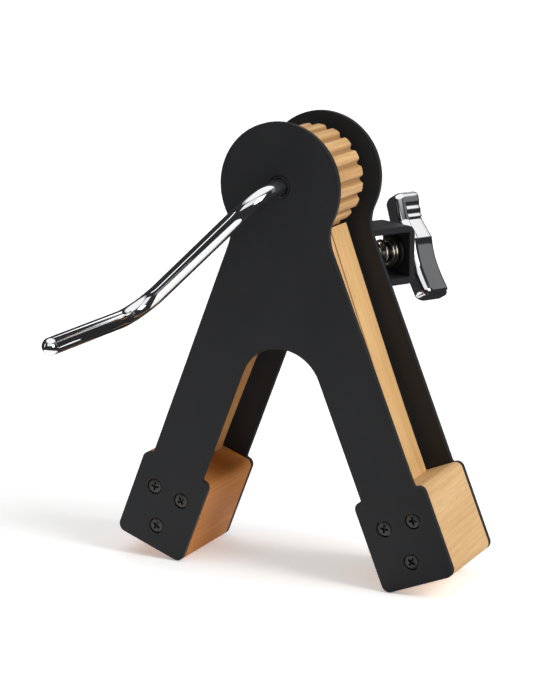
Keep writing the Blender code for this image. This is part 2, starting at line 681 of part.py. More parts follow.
def make_bracket():
    half = STRAP_HEIGHT / 2
    inside = half - STRAP_THICKNESS
    back = -CLAMP_REACH - STRAP_WIDTH  # cut off at the plate below
    outer_bend = STRAP_BEND + STRAP_THICKNESS
    corners = (
        (back, half, 0),
        (0, half, outer_bend),
        (0, -half, outer_bend),
        (back, -half, 0),
        (back, -inside, 0),
        (-STRAP_THICKNESS, -inside, STRAP_BEND),
        (-STRAP_THICKNESS, inside, STRAP_BEND),
        (back, inside, 0),
    )
    mesh = outline_mesh("mount_bracket", [rounded(corners)], STRAP_WIDTH, OUTLINE_UPRIGHT)
    bracket = add_piece("mount_bracket", mesh, BLACK_STEEL, CLAMP)
    ahead = 2 * (CLAMP_REACH + STRAP_WIDTH)
    plate_side = box_mesh("plate_side", (-ahead, -ahead, -ahead), (ahead, FRAME_HALF + SEAT_GAP, ahead))
    boolean(bracket, add_cutter("plate_side", plate_side, SHAFT))
    stand_hole = rod_mesh("stand_hole", STAND_ROD_RADIUS + STAND_ROD_PLAY, -STRAP_HEIGHT, STRAP_HEIGHT)
    boolean(bracket, add_cutter("stand_hole", stand_hole, CLAMP, (EYE_CENTRE, 0, 0)))
    bush_hole = rod_mesh("bush_hole", CLAMP_BARREL_RADIUS + SEAT_GAP, -2 * STRAP_THICKNESS, STRAP_THICKNESS)
    boolean(bracket, add_cutter("bush_hole", bush_hole, CLAMP, rotation=ALONG_X))


def make_clamp_bush():
    """A flanged bush in the web's hole. The spring pushes on its flange."""
    flange_end = SPRING_FACE
    flange_start = SPRING_FACE + CLAMP_BUSH_FLANGE
    profile = [
        (CLAMP_BARREL_RADIUS, 0),
        (CLAMP_BARREL_RADIUS, flange_start),
        (CLAMP_BUSH_RADIUS, flange_start),
        (CLAMP_BUSH_RADIUS, flange_end),
        (BOLT_HOLE_RADIUS, flange_end),
        (BOLT_HOLE_RADIUS, 0),
    ]
    mesh = turned_mesh("clamp_bush", profile, ring=True)
    add_piece("clamp_bush", mesh, BLACK_NYLON, CLAMP, rotation=ALONG_X)


def make_washers():
    mesh = sleeve_mesh("clamp_washer", BOLT_HOLE_RADIUS, CLAMP_WASHER_RADIUS, CLAMP_WASHER_THICKNESS)
    add_piece("clamp_washer", mesh, ZINC_STEEL, CLAMP, (SEAT_GAP, 0, 0), ALONG_X)
    mesh = sleeve_mesh("spring_washer", BOLT_HOLE_RADIUS, SPRING_WASHER_RADIUS, SPRING_WASHER_THICKNESS)
    add_piece("spring_washer", mesh, ZINC_STEEL, CLAMP, (SPRING_END - SPRING_WASHER_THICKNESS, 0, 0), ALONG_X)


def make_eye_bolt():
    """A flat eye for an upright rod, with a shank along the clamp's axis."""
    half = EYE_HEIGHT / 2
    profile = [
        (EYE_RADIUS - EYE_CHAMFER, half),
        (EYE_RADIUS, half - EYE_CHAMFER),
        (EYE_RADIUS, EYE_CHAMFER - half),
        (EYE_RADIUS - EYE_CHAMFER, -half),
        (EYE_HOLE_RADIUS, -half),
        (EYE_HOLE_RADIUS, half),
    ]
    mesh = turned_mesh("eye_bolt", profile, ring=True)
    eye = add_piece("eye_bolt", mesh, ZINC_STEEL, CLAMP, (EYE_CENTRE, 0, 0))
    shank_start = EYE_HOLE_RADIUS + EYE_WALL / 2
    shank = rod_mesh("shank", BOLT_RADIUS, shank_start, BOLT_OUTSIDE - EYE_CENTRE)
    boolean(eye, add_cutter("shank", shank, eye, rotation=ALONG_X), "UNION")


def spring_points():
    """A helix along the clamp's axis, with close turns at both ends."""
    turns = SPRING_CLOSE_TURNS + SPRING_OPEN_TURNS
    start = SPRING_FACE - SEAT_GAP - SPRING_WIRE / 2
    points = []
    for step in range(round(turns * SPRING_POINTS) + 1):
        turn = step / SPRING_POINTS
        opened = min(max(turn - SPRING_WEB_TURNS, 0), SPRING_OPEN_TURNS)
        along = (turn - opened) * SPRING_CLOSE_PITCH + opened * SPRING_OPEN_PITCH
        angle = 2 * math.pi * turn
        y = SPRING_RADIUS * math.cos(angle)
        z = SPRING_RADIUS * math.sin(angle)
        points.append(Vector((start - along, y, z)))
    return points


def print_spring_gap(points):
    """The least distance between the surfaces of the wire half a turn apart or more."""
    near = SPRING_POINTS // 2
    least = min((a - b).length for i, a in enumerate(points) for b in points[i + near:])
    print(f"spring's least gap to itself: {(least - SPRING_WIRE) / MM:.2f} mm")


def make_spring():
    points = spring_points()
    print_spring_gap(points)
    curve = tube_curve("clamp_spring", [(point, 1) for point in points], SPRING_WIRE / 2, 1)
    add_piece("clamp_spring", curve, CHROME, CLAMP)


def wing_side():
    """Seen along the bolt, the thumb's side from top to foot: ribs, ramp, the hub's crest, hollow and pad."""
    top = WING_HALF_LENGTH
    pad_height = WING_CORNER - top
    points = fillet((0, top), (-RIB_OUT, top), (-RIB_OUT, 0), WING_CORNER)
    for rib in range(RIBS):
        edge = RIB_TOP - rib * RIB_PITCH
        fall = RIB_FALL if rib < RIBS - 1 else RIB_FALL / 2
        points += [(-RIB_OUT, edge), (RIB_DEPTH - RIB_OUT, edge - fall)]
    for step in range(HOLLOW_STEPS):
        share = 1 - step / HOLLOW_STEPS
        height = HOLLOW_HEIGHT + (CREST_HEIGHT - HOLLOW_HEIGHT) * share
        points.append((-HOLLOW - (CREST - HOLLOW) * share ** 2, height))
    for step in range(HOLLOW_STEPS):
        share = step / HOLLOW_STEPS
        height = HOLLOW_HEIGHT + (pad_height - HOLLOW_HEIGHT) * share
        points.append((-HOLLOW - (PAD - HOLLOW) * share ** 2, height))
    return points + fillet((-PAD, 0), (-PAD, -top), (0, -top), WING_CORNER)


def wing_blade():
    """The side and the same turned half round, as deep as the wing, with both lobes leaning outwards."""
    side = wing_side()
    outline = side + [(-across, -height) for across, height in side]
    blade = outline_mesh("blade", [outline], WING_DEPTH, OUTLINE_ACROSS_X, WING_RIM)
    for vertex in blade.vertices:
        vertex.co.x += WING_LEAN * (vertex.co.z / WING_HALF_LENGTH) ** 2
    return blade


def make_wing():
    wing = add_empty("wing_axis", CLAMP, rotation=(WING_TURN, 0, 0))
    hub = rod_mesh("wing_handle", HUB_RADIUS, HUB_START, HUB_START + WING_DEPTH / 2)
    handle = add_piece("wing_handle", hub, CHROME, wing, rotation=ALONG_X)
    place = (HUB_START + WING_STANDOFF + WING_DEPTH / 2, *WING_CENTRE)
    boolean(handle, add_cutter("blade", wing_blade(), wing, place), "UNION")
    bore = rod_mesh("bolt_hole", BOLT_HOLE_RADIUS, 0, BOLT_HOLE_END)
    boolean(handle, add_cutter("bolt_hole", bore, wing, rotation=ALONG_X))


def make_clamp():
    make_bracket()
    make_clamp_bush()
    make_washers()
    make_eye_bolt()
    make_spring()
    make_wing()


# Frame

def stand_on_origin():
    """Moves the whole object so that the origin is under the middle of its box."""
    bpy.context.view_layer.update()
    graph = bpy.context.evaluated_depsgraph_get()
    corners = []
    for obj in PARTS.objects:
        if obj.type == "EMPTY":
            continue
        evaluated = obj.evaluated_get(graph)
        mesh = evaluated.to_mesh()
        corners += [evaluated.matrix_world @ vertex.co for vertex in mesh.vertices]
        evaluated.to_mesh_clear()
    low = Vector(min(point[axis] for point in corners) for axis in range(3))
    high = Vector(max(point[axis] for point in corners) for axis in range(3))
    SHAFT.location -= Vector(((low.x + high.x) / 2, (low.y + high.y) / 2, low.z))
    bpy.context.view_layer.update()
    print("size in mm:", [round(side / MM, 2) for side in high - low])


def print_places():
    """Joint axes and mount faces in the object's frame, in metres."""
    places = {
        "shaft": SHAFT.matrix_world.translation,
        "clamp": CLAMP.matrix_world.translation,
        "clamp axis": CLAMP_AXIS,
        "eye": CLAMP.matrix_world @ Vector((EYE_CENTRE, 0, 0)),
    }
    for obj in PARTS.objects:
        if obj.name.endswith("tongue"):
            places[obj.name] = obj.matrix_world.translation
    for name, place in places.items():
        print(name, [round(value, 6) for value in place])


clear_scene()
PARTS = new_collection("orchestral_ratchet", bpy.context.scene.collection)
CUTTERS = new_collection("cutters", bpy.context.scene.collection)
SCREW_HOLES = {side: new_collection(f"{side}_screw_holes", CUTTERS) for side in ("front", "rear")}
SHAFT = add_empty("shaft_axis")
CLAMP_FOOT = Vector((CLAMP_SIDE, FRAME_HALF, -CLAMP_DROP))
CLAMP = add_empty("clamp_axis", SHAFT, CLAMP_FOOT + CLAMP_AXIS * CLAMP_REACH, (0, 0, CLAMP_TURN))
make_plates()
make_legs()
make_crank()
make_shaft_fittings()
make_clamp()
stand_on_origin()
print_places()
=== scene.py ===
# %% [markdown]
# # An orchestral ratchet
#
# A crank turns a wooden gear between two black steel plates, and four springy wooden tongues click over
# its teeth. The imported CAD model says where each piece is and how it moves. This lesson gives every piece
# its finished surface: the shape comes from a formula in numpy, and the finish comes from shader nodes.

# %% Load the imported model
import json

import bpy
import numpy as np
from mathutils import Matrix, Vector
from mathutils.geometry import delaunay_2d_cdt


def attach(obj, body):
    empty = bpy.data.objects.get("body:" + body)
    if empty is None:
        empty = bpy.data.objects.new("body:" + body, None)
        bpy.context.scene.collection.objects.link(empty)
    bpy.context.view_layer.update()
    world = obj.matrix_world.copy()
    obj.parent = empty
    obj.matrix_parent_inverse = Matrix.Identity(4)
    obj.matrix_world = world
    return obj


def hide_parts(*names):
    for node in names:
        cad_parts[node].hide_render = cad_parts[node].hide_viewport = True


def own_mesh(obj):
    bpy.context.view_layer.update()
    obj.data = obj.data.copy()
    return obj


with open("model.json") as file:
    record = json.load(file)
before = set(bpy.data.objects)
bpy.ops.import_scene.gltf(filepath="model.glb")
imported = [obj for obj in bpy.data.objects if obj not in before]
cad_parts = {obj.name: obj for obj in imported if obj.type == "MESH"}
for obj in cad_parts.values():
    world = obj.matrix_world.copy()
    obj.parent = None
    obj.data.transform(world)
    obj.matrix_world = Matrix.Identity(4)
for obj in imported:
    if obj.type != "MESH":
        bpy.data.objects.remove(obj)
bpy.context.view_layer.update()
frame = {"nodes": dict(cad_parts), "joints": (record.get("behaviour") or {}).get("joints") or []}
JOINTS = {joint["name"]: joint for joint in frame["joints"]}
SHAFT = np.array(JOINTS["crank_spin"]["pos_m"])
CLAMP = np.array(JOINTS["wing_turn"]["pos_m"])
CLAMP_AXIS = np.array(JOINTS["wing_turn"]["axis"])
print(len(frame["nodes"]), "CAD nodes; the shaft is at", SHAFT, "and the clamp at", CLAMP)

# %% [markdown]
# ## Camera
#
# A camera can be placed by eye. This one was fitted to the outlines of the plates in the photograph, so
# that edges fall where they should. Its angles say where it stands round the object, how far it looks
# down, and how far it is tipped. A long lens keeps the legs almost parallel, as in a catalogue picture.

# %% Camera
AZIMUTH, ELEVATION, ROLL = np.radians([26.074, 12.898, -0.252])
CAMERA_FROM_SHAFT = np.array([0.52913, -1.12181, 0.18957])
FOCAL_PIXELS, LONG_SIDE_PIXELS, SENSOR = 2308.7, 700, 36


def camera_axes(azimuth, elevation, roll):
    """Columns right, up and back: back points from the object to the camera, and roll turns the other two."""
    back = np.array([
        np.sin(azimuth) * np.cos(elevation), -np.cos(azimuth) * np.cos(elevation), np.sin(elevation)
    ])
    right = np.array([np.cos(azimuth), np.sin(azimuth), 0])
    up = np.cross(back, right)
    return np.stack([
        np.cos(roll) * right + np.sin(roll) * up, np.cos(roll) * up - np.sin(roll) * right, back
    ], 1)


camera = bpy.data.objects.new("camera", bpy.data.cameras.new("camera"))
bpy.context.scene.collection.objects.link(camera)
camera.data.sensor_width = SENSOR
camera.data.lens = FOCAL_PIXELS / LONG_SIDE_PIXELS * SENSOR
camera_turn = Matrix(camera_axes(AZIMUTH, ELEVATION, ROLL).tolist()).to_4x4()
camera.matrix_world = Matrix.Translation(SHAFT + CAMERA_FROM_SHAFT) @ camera_turn
bpy.context.scene.camera = camera
print(f"camera with a {camera.data.lens:.1f} mm lens")

# %% [markdown]
# ## Shader arithmetic
#
# A finish is a small calculation on patterns. Adding Math nodes by hand hides that calculation, so one
# class wraps a node's output and lets Python's own signs add the nodes. A second class makes any other
# node in one call: settings first, then the values and links of its sockets. Materials and the room's
# light both use it.

# %% Sockets and nodes
class Socket:
    """A node's output. Arithmetic on it adds Math nodes to its owner."""

    def __init__(self, owner, output):
        self.owner = owner
        self.output = output

    def math(self, operation, *values, clamp=False):
        made = self.owner.node("Math", {"operation": operation, "use_clamp": clamp}, {})
        for place, value in zip(made.output.node.inputs, values):
            self.owner.feed(place, value)
        return made

    def __add__(self, other):
        return self.math("ADD", self, other)

    def __sub__(self, other):
        return self.math("SUBTRACT", self, other)

    def __rsub__(self, other):
        return self.math("SUBTRACT", other, self)

    def __mul__(self, other):
        return self.math("MULTIPLY", self, other)

    __radd__ = __add__
    __rmul__ = __mul__

    def between(self, low, high):
        """0 below low, 1 above high, and straight between them."""
        return self.math("MULTIPLY", self - low, 1 / (high - low), clamp=True)


class Nodes:
    """A tree of nodes, and the one method that adds to it."""

    def __init__(self, tree):
        self.tree = tree

    def feed(self, place, value):
        """Links a socket to a place, or sets the place to a plain value."""
        if isinstance(value, Socket):
            self.tree.links.new(value.output, place)
        else:
            place.default_value = value

    def node(self, kind, settings, values, output=None):
        """One node: its type without the prefix, its settings, its sockets' values or links, an output."""
        made = self.tree.nodes.new("ShaderNode" + kind)
        for name, value in settings.items():
            setattr(made, name, value)
        for name, value in values.items():
            self.feed(next(s for s in made.inputs if s.enabled and s.name == name), value)
        return Socket(self, next(s for s in made.outputs if s.enabled and output in (None, s.name)))


# %% Finishes
class Finish(Nodes):
    """A material that is built up from nodes. What is the same all over is set on the shader itself."""

    def __init__(self, name, **constants):
        self.material = bpy.data.materials.new(name)
        self.material.use_nodes = True
        super().__init__(self.material.node_tree)
        self.shader = self.tree.nodes["Principled BSDF"]
        for socket, value in constants.items():
            self.shader.inputs[socket.replace("_", " ").title().replace("Ior", "IOR")].default_value = value

    def place(self):
        """Where a point is on the object, in metres."""
        return self.node("TexCoord", {}, {}, "Object")

    def stretched(self, vector, scale):
        """The vector with each of its three parts times a scale of its own."""
        return self.node("Mapping", {}, {"Vector": vector, "Scale": scale})

    def noise(self, vector, scale, detail=3, roughness=0.5):
        """A cloudy number from 0 to 1 at each place."""
        values = {"Vector": vector, "Scale": scale, "Detail": detail, "Roughness": roughness}
        return self.node("TexNoise", {}, values, "Fac")

    def mix(self, factor, first, second):
        """The first colour at factor 0 and the second at 1; a plain colour is red, green and blue."""
        a, b = [colour if isinstance(colour, Socket) else (*colour, 1) for colour in (first, second)]
        return self.node("Mix", {"data_type": "RGBA"}, {"Factor": factor, "A": a, "B": b}, "Result")

    def bump(self, height, strength, distance):
        """The surface's direction, tilted as if it had this relief."""
        return self.node("Bump", {}, {"Height": height, "Strength": strength, "Distance": distance}, "Normal")

    def drive(self, **sockets):
        """Links what varies over the surface to the shader."""
        for name, value in sockets.items():
            self.feed(self.shader.inputs[name.replace("_", " ").title()], value)
        print("finish", self.material.name, "has", len(self.tree.nodes), "nodes")
        return self.material


# %% [markdown]
# ## Studio
#
# The photograph was taken on white. Here a pale table runs far past the picture, and a white ring at its
# edge makes low views end in white too. One large plane would do for the wood and the paint, but chrome
# would mirror it from end to end and lose its dark bands. So the table comes in parts, and gloss sees
# only a disc on the crank's side and another at the back.

# %% Floor
FLOOR_MIDDLE, NEAR_RADIUS, FAR_RADIUS = (-0.13, -0.10, -0.0003), 0.21, 14.0
FLOOR_PARTS = {  # middle, inner and outer radius, rise
    "near_floor": (FLOOR_MIDDLE, 0, NEAR_RADIUS, 0),
    "rear_floor": ((0.36, 0.66, -0.0002), 0, 0.46, 0),
    "far_floor": (FLOOR_MIDDLE, NEAR_RADIUS, FAR_RADIUS, 0),
    "backdrop": (FLOOR_MIDDLE, FAR_RADIUS, 15.0, 6.0),
}
FLOOR_GLOW, BACKDROP_GLOW, FLOOR_ROUGHNESS = 0.34, 1.2, 0.9


def full_turn(steps):
    """Angles once round, without the last one, which is the first again."""
    return np.linspace(0, 2 * np.pi, steps, endpoint=False)


def ring_mesh(name, inner, outer, rise, around=96):
    """A disc, or two circles of points, the outer one raised, joined by a band of faces."""
    angle, number = full_turn(around), np.arange(around)
    spoke = np.stack([np.cos(angle), np.sin(angle), 0 * angle], 1)
    points, faces = outer * spoke + (0, 0, rise), number[None]
    if inner:
        points = np.concatenate([inner * spoke, points])
        faces = np.stack([number, number + around, np.roll(number, -1) + around, np.roll(number, -1)], 1)
    mesh = bpy.data.meshes.new(name)
    mesh.from_pydata(points.tolist(), [], faces.tolist())
    return mesh


def speckled(finish, low, high):
    """A slow noise between two greys."""
    return finish.mix(finish.noise(finish.place(), 6.0, 4), (low, low, low), (high, high, high))


pale = Finish("pale_floor", roughness=FLOOR_ROUGHNESS, specular_ior_level=0.1, emission_color=(1, 1, 1, 1),
              emission_strength=FLOOR_GLOW)
pale_finish = pale.drive(base_color=speckled(pale, 0.92, 0.94))
white = Finish("white_backdrop", roughness=FLOOR_ROUGHNESS, emission_strength=BACKDROP_GLOW)
white_finish = white.drive(emission_color=speckled(white, 0.98, 1.0))
for name, (middle, inner, outer, rise) in FLOOR_PARTS.items():
    ground = bpy.data.objects.new(name, ring_mesh(name, inner, outer, rise))
    ground.data.materials.append(white_finish if rise else pale_finish)
    ground.location = middle
    ground.visible_glossy = inner == 0
    ground.visible_diffuse = ground.visible_shadow = rise == 0
    bpy.context.scene.collection.objects.link(ground)
print(len(FLOOR_PARTS), "parts of the floor")

# %% [markdown]
# Chrome shows its surroundings and little else, so bright cards stand in a dark room: they draw the black
# and white bands along the crank. Only gloss sees the cards. A bright ceiling and a wide window light
# everything else, and gloss doesn't see the window. A picture of a real studio could do all this, but
# cards can be moved one by one.

# %% Light
ROOM_LOW, ROOM_HIGH, ROOM_EDGE = (0.030, 0.030, 0.032), (1.1, 1.1, 1.1), (0.66, 0.80)
SUN_FROM, SUN_WIDTH, SUN_STRENGTH = (0.80, -0.04, 0.62), np.radians(30), 2.1
SOFTBOXES = {  # place, aim, width, height, power
    "strip": ((-1.05, -0.85, 0.40), (-0.04, -0.02, 0.18), 0.17, 0.7, 0.6),
    "front": ((0.44, -1.36, 0.94), (0.05, 0.10, 0.17), 2.0, 0.9, 5.4),
    "side": ((1.20, -0.75, 0.56), (0.02, 0.08, 0.17), 0.7, 1.0, 5.0),
    "back": ((-0.1, 1.5, 0.95), (-0.05, 0, 0.15), 1.2, 0.25, 1.4),
    "grey": ((1.32, 0.49, 0.88), (0.04, 0.10, 0.17), 0.75, 0.95, 0.36),
}
world = bpy.data.worlds.new("room")
world.use_nodes = True
bpy.context.scene.world = world
room = Nodes(world.node_tree)
upward = room.node("SeparateXYZ", {}, {"Vector": room.node("TexCoord", {}, {}, "Generated")}, "Z")
ceiling = room.node("MapRange", {"data_type": "FLOAT_VECTOR"}, {
    "Vector": upward, "From Min": ROOM_EDGE[:1] * 3, "From Max": ROOM_EDGE[1:] * 3,
    "To Min": ROOM_LOW, "To Max": ROOM_HIGH,
})
room.feed(room.tree.nodes["Background"].inputs["Color"], ceiling)


def add_light(name, light, place, aim):
    """A lamp at a place, facing what it is aimed at."""
    lamp = bpy.data.objects.new(name, light)
    back = Vector(place) - Vector(aim)
    lamp.matrix_world = Matrix.Translation(place) @ back.to_track_quat("Z", "Y").to_matrix().to_4x4()
    bpy.context.scene.collection.objects.link(lamp)
    return lamp


for name, (place, aim, width, height, power) in SOFTBOXES.items():
    box = bpy.data.lights.new(name, "AREA")
    box.shape, box.size, box.size_y, box.energy = "RECTANGLE", width, height, power
    add_light(name, box, place, aim).visible_diffuse = False
sun = bpy.data.lights.new("window", "SUN")
sun.angle, sun.energy = SUN_WIDTH, SUN_STRENGTH
add_light("window", sun, SUN_FROM, (0, 0, 0)).visible_glossy = False
bpy.context.scene.view_settings.view_transform = "Standard"
print(len(SOFTBOXES), "softboxes and a wide window")

# %% [markdown]
# ## Finishes
#
# Beech is even, with a fine straight fibre, soft growth bands and short brown flecks. A picture of wood
# would repeat; instead the pattern is worked out in the wood's own directions, which each wooden piece
# carries as an attribute called grain: millimetres across the fibre twice, then along it. Squeezing a
# noise along the fibre turns it into streaks. The feet, the tongues and the gear come from different
# boards, so each has a tone of its own. The left block and the left tongues are deeper and redder: partly
# their own wood, and partly painted shade, as they stand in the shadow inside the frame. The gear's notches
# and end faces are darkened with painted shade.

# %% Beech
def beech(name, pale_tone, deep_tone, gloss, shine=0.35, streaks=0.42, shaded_valleys=False):
    """Bands and rings mix two tones; fibre and flecks darken them, and painted shade darkens the gear's
    notches and end faces.
    """
    wood = Finish(name, specular_ior_level=shine)
    deep = np.array(deep_tone)
    grain = wood.node("Attribute", {"attribute_name": "grain"}, {}, "Vector")
    bands = wood.noise(wood.stretched(grain, (0.16, 0.05, 0.012)), 1.0, 3).between(0.3, 0.7)
    rings = wood.noise(wood.stretched(grain, (0.6, 0.5, 0.012)), 1.0, 3, 0.62).between(0.36, 0.64)
    fibre = wood.noise(wood.stretched(grain, (3.2, 2.6, 0.07)), 1.0, 4, 0.68).between(0.28, 0.72)
    fleck = wood.noise(wood.stretched(grain, (2.2, 2.2, 0.55)), 1.0, 2, 0.4).between(0.69, 0.75)
    colour = wood.mix(0.5 * bands + 0.5 * rings, pale_tone, deep)
    colour = wood.mix(streaks * fibre, colour, 0.66 * deep)
    colour = wood.mix(0.75 * fleck, colour, 0.30 * deep)
    # Painted shade: the gear's notches, and a little of its end faces, are darkened as if in shadow.
    if shaded_valleys:
        low = wood.node("Attribute", {"attribute_name": "valley_shade"}, {}, "Fac")
        colour = wood.mix(0.8 * low, colour, 0.62 * deep)
    return wood.drive(
        base_color=colour,
        roughness=gloss + 0.12 * fibre - 0.06 * bands,
        normal=wood.bump(fibre * 0.6 + fleck * -0.5 + rings * 0.25, 0.22, 0.00025),
    )


# The left pieces are deeper and redder: partly their own wood, partly painted shade of the inside of the
# frame.
LEFT_BLOCK_SHADED_WOOD = beech("left_block_shaded_beech", (0.62, 0.26, 0.066), (0.465, 0.168, 0.038), 0.5, shine=0.1)
RIGHT_BLOCK_WOOD = beech("right_block_beech", (0.775, 0.525, 0.278), (0.586, 0.35, 0.153), 0.5, shine=0.1)
LEFT_TONGUE_SHADED_WOOD = beech("left_tongue_shaded_beech", (0.74, 0.40, 0.145), (0.56, 0.26, 0.08), 0.46)
RIGHT_TONGUE_WOOD = beech("right_tongue_beech", (0.85, 0.545, 0.255), (0.66, 0.38, 0.15), 0.46)
GEAR_WOOD = beech("gear_beech", (0.90, 0.60, 0.295), (0.53, 0.28, 0.10), 0.44, streaks=0.62, shaded_valleys=True)

# %% [markdown]
# The plates are steel with a matte black powder coat: an even, very fine pebble that scatters the light.
# Chrome is almost a mirror, with a faint haze from handling. Zinc is duller and cloudy, and the spring's
# steel is warmer. Nylon and blackened screws are dark like the plates, but the nylon is waxy and the
# steel still shines at its edges. They differ only in their numbers, so one function makes them all.

# %% Paint, metals and nylon
def coat(name, tones, cloud, gloss, relief, fine=None, **constants):
    """A cloud of noise mixes two tones; a finer noise, which may be drawn out one way, roughens the surface.

    The cloud is (scale, detail, roughness, low, high), the fine noise is (three scales, detail, roughness),
    and the relief is (strength, distance). The gloss is a least roughness and what the cloud and the fine
    noise add to it. Without a fine noise, the cloud is the relief too.
    """
    made = Finish(name, **constants)
    where = made.place()
    soft = pattern = made.noise(where, *cloud[:3]).between(*cloud[3:])
    roughness = gloss[0] + gloss[1] * soft
    if fine:
        pattern = made.noise(made.stretched(where, fine[0]), 1.0, *fine[1:])
        roughness = roughness + gloss[2] * pattern
    return made.drive(
        base_color=made.mix(soft, *tones), roughness=roughness, normal=made.bump(pattern, *relief)
    )


POWDER_COAT = coat(
    "black_powder_coat", ((0.0200, 0.0204, 0.0222), (0.0240, 0.0244, 0.0264)), (28, 3, 0.5, 0.3, 0.7),
    (0.5, 0.08, 0.05), (0.10, 0.0001), ((2600, 2600, 2600), 2, 0.55), specular_ior_level=0.2)
CHROME = coat(
    "chrome_plate", ((0.83, 0.835, 0.85), (0.79, 0.795, 0.81)), (60, 4, 0.6, 0.35, 0.8),
    (0.035, 0.035, 0.02), (0.004, 0.00005), ((900, 160, 900), 2, 0.5), metallic=1.0)
ZINC = coat(
    "zinc_plate", ((0.60, 0.605, 0.60), (0.50, 0.51, 0.52)), (240, 4, 0.6, 0.3, 0.7),
    (0.24, 0.12, 0.06), (0.06, 0.0001), ((2600, 300, 2600), 3, 0.6), metallic=1.0)
SPRING_STEEL = coat(
    "spring_steel", ((0.78, 0.73, 0.62), (0.66, 0.60, 0.48)), (900, 3, 0.6, 0, 1),
    (0.16, 0.1), (0.03, 0.00005), metallic=1.0)
NYLON = coat(
    "black_nylon", ((0.014, 0.014, 0.015), (0.021, 0.021, 0.0225)), (700, 4, 0.6, 0.3, 0.7),
    (0.38, 0.14), (0.08, 0.0001), metallic=0.0, specular_ior_level=0.4)
BLACK_SCREW = coat(
    "blackened_screw", ((0.045, 0.045, 0.044), (0.0675, 0.0675, 0.066)), (1500, 4, 0.6, 0.3, 0.7),
    (0.24, 0.14), (0.08, 0.0001), metallic=0.9, specular_ior_level=0.4)

# %% [markdown]
# ## Grids
#
# A surface is a grid of points, so its faces follow from the grid's size alone. A shell is a closed
# surface: its points in millimetres, and its faces in groups that are shaded smooth or flat. A shell
# whose volume comes out negative is inside out, and is turned round. Each piece is drawn in a frame of
# its own, so that its formula stays simple, and moved to its place as its mesh is made.

# %% Shells
MM = 0.001
SHARP_ANGLE = np.radians(34)


def grid_faces(rows, columns, wrap_rows=False):
    """Four corners for each cell of a grid whose columns close on themselves."""
    row, column = np.meshgrid(np.arange(rows if wrap_rows else rows - 1), np.arange(columns), indexing="ij")
    below, right = (row + 1) % rows, (column + 1) % columns
    corners = np.stack([row * columns + column, below * columns + column, below * columns + right,
                        row * columns + right], -1)
    return corners.reshape(-1, 4)


def outward(points, faces):
    """The shell with its faces pointing out: the signed volume is a sixth of the sum of a . (b x c)."""
    volume = 0
    for corners, _ in faces:
        for k in range(1, corners.shape[1] - 1):
            a, b, c = points[corners[:, 0]], points[corners[:, k]], points[corners[:, k + 1]]
            volume += np.sum(a * np.cross(b, c))
    return points, (faces if volume > 0 else [(corners[:, ::-1], flat) for corners, flat in faces])


def shifted(shell, by):
    """The shell, moved."""
    return shell[0] + by, shell[1]


def placed(turn, origin):
    """A frame: the columns of turn are its axes, and origin is in metres."""
    return np.array(turn, float), np.array(origin, float)


def on_shaft(turn, y):
    """A frame on the shaft's axis, y millimetres behind the middle of the object."""
    return placed(turn, SHAFT + (0, y * MM, 0))


print(len(grid_faces(5, 8)), "faces join five rings of eight points")


# %% Pieces
def mesh_from(name, shells, place):
    """One mesh of all shells, moved from a frame's millimetres to metres."""
    points, faces, flat, start = [], [], [], 0
    for shell_points, shell_faces in shells:
        points.append(shell_points * MM @ place[0].T + place[1])
        for corners, is_flat in shell_faces:
            faces += (corners + start).tolist()
            flat += [is_flat] * len(corners)
        start += len(shell_points)
    mesh = bpy.data.meshes.new(name)
    mesh.from_pydata(np.concatenate(points).tolist(), [], faces)
    mesh.shade_smooth()
    mesh.set_sharp_from_angle(angle=SHARP_ANGLE)
    mesh.polygons.foreach_set("use_smooth", ~np.array(flat))
    mesh.update()
    return mesh


def make_piece(node, body, shells, place, finish):
    """A finished piece. It stands for the CAD node of its name, if there is one."""
    mesh = mesh_from("fine_" + node, [outward(*shell) for shell in shells], place)
    mesh.materials.append(finish)
    piece = bpy.data.objects.new("fine_" + node, mesh)
    bpy.context.scene.collection.objects.link(piece)
    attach(piece, body)
    if node in frame["nodes"]:
        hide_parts(node)
    print(piece.name, len(mesh.polygons), "faces")
    return piece


def own_points(piece, place):
    """The piece's points in a frame's millimetres."""
    points = np.empty(3 * len(piece.data.vertices))
    piece.data.vertices.foreach_get("co", points)
    return (points.reshape(-1, 3) - place[1]) @ place[0] / MM


def set_grain(piece, place, directions, shift):
    """Carries a wooden piece's millimetres across the fibre, across it again and along it as an attribute."""
    along = own_points(piece, place) @ np.array(directions, float).T + shift
    piece.data.attributes.new("grain", "FLOAT_VECTOR", "POINT").data.foreach_set("vector", along.ravel())


# %% [markdown]
# ## Flat pieces with soft edges
#
# Plates, blocks, strips and the gear are all outlines with a thickness. Real edges are never sharp: paint
# and sandpaper round them, and that thin round catches the light. A Bevel modifier could do it, but here
# the outline itself is carried over the edge on a quarter circle, so each face can have a round of its
# own. The flat faces are filled by a Delaunay triangulation that goes round the holes.

# %% Outlines
def arc(centre, radius, start, end, steps):
    """Points on a circle from one angle to another."""
    angle = np.linspace(start, end, steps + 1)
    return np.stack([centre[0] + radius * np.cos(angle), centre[1] + radius * np.sin(angle)], 1)


def circle(radius, steps=72, centre=(0, 0)):
    """An arc all the way round, without its last point."""
    return arc(centre, radius, 0, 2 * np.pi, steps)[:-1]


def fillet(before, corner, after, radius, steps=8):
    """The arc that touches both edges of a corner: it starts radius * tan(turn / 2) before the corner."""
    if radius == 0:
        return np.array([corner], float)
    into = np.subtract(corner, before) / np.linalg.norm(np.subtract(corner, before))
    out = np.subtract(after, corner) / np.linalg.norm(np.subtract(after, corner))
    turn = np.arctan2(into[0] * out[1] - into[1] * out[0], into @ out)
    side = np.sign(turn)
    centre = corner - into * radius * np.tan(abs(turn) / 2) + np.array([-into[1], into[0]]) * side * radius
    start = np.arctan2(-side * into[0], side * into[1])
    return arc(centre, radius, start, start + turn, steps)


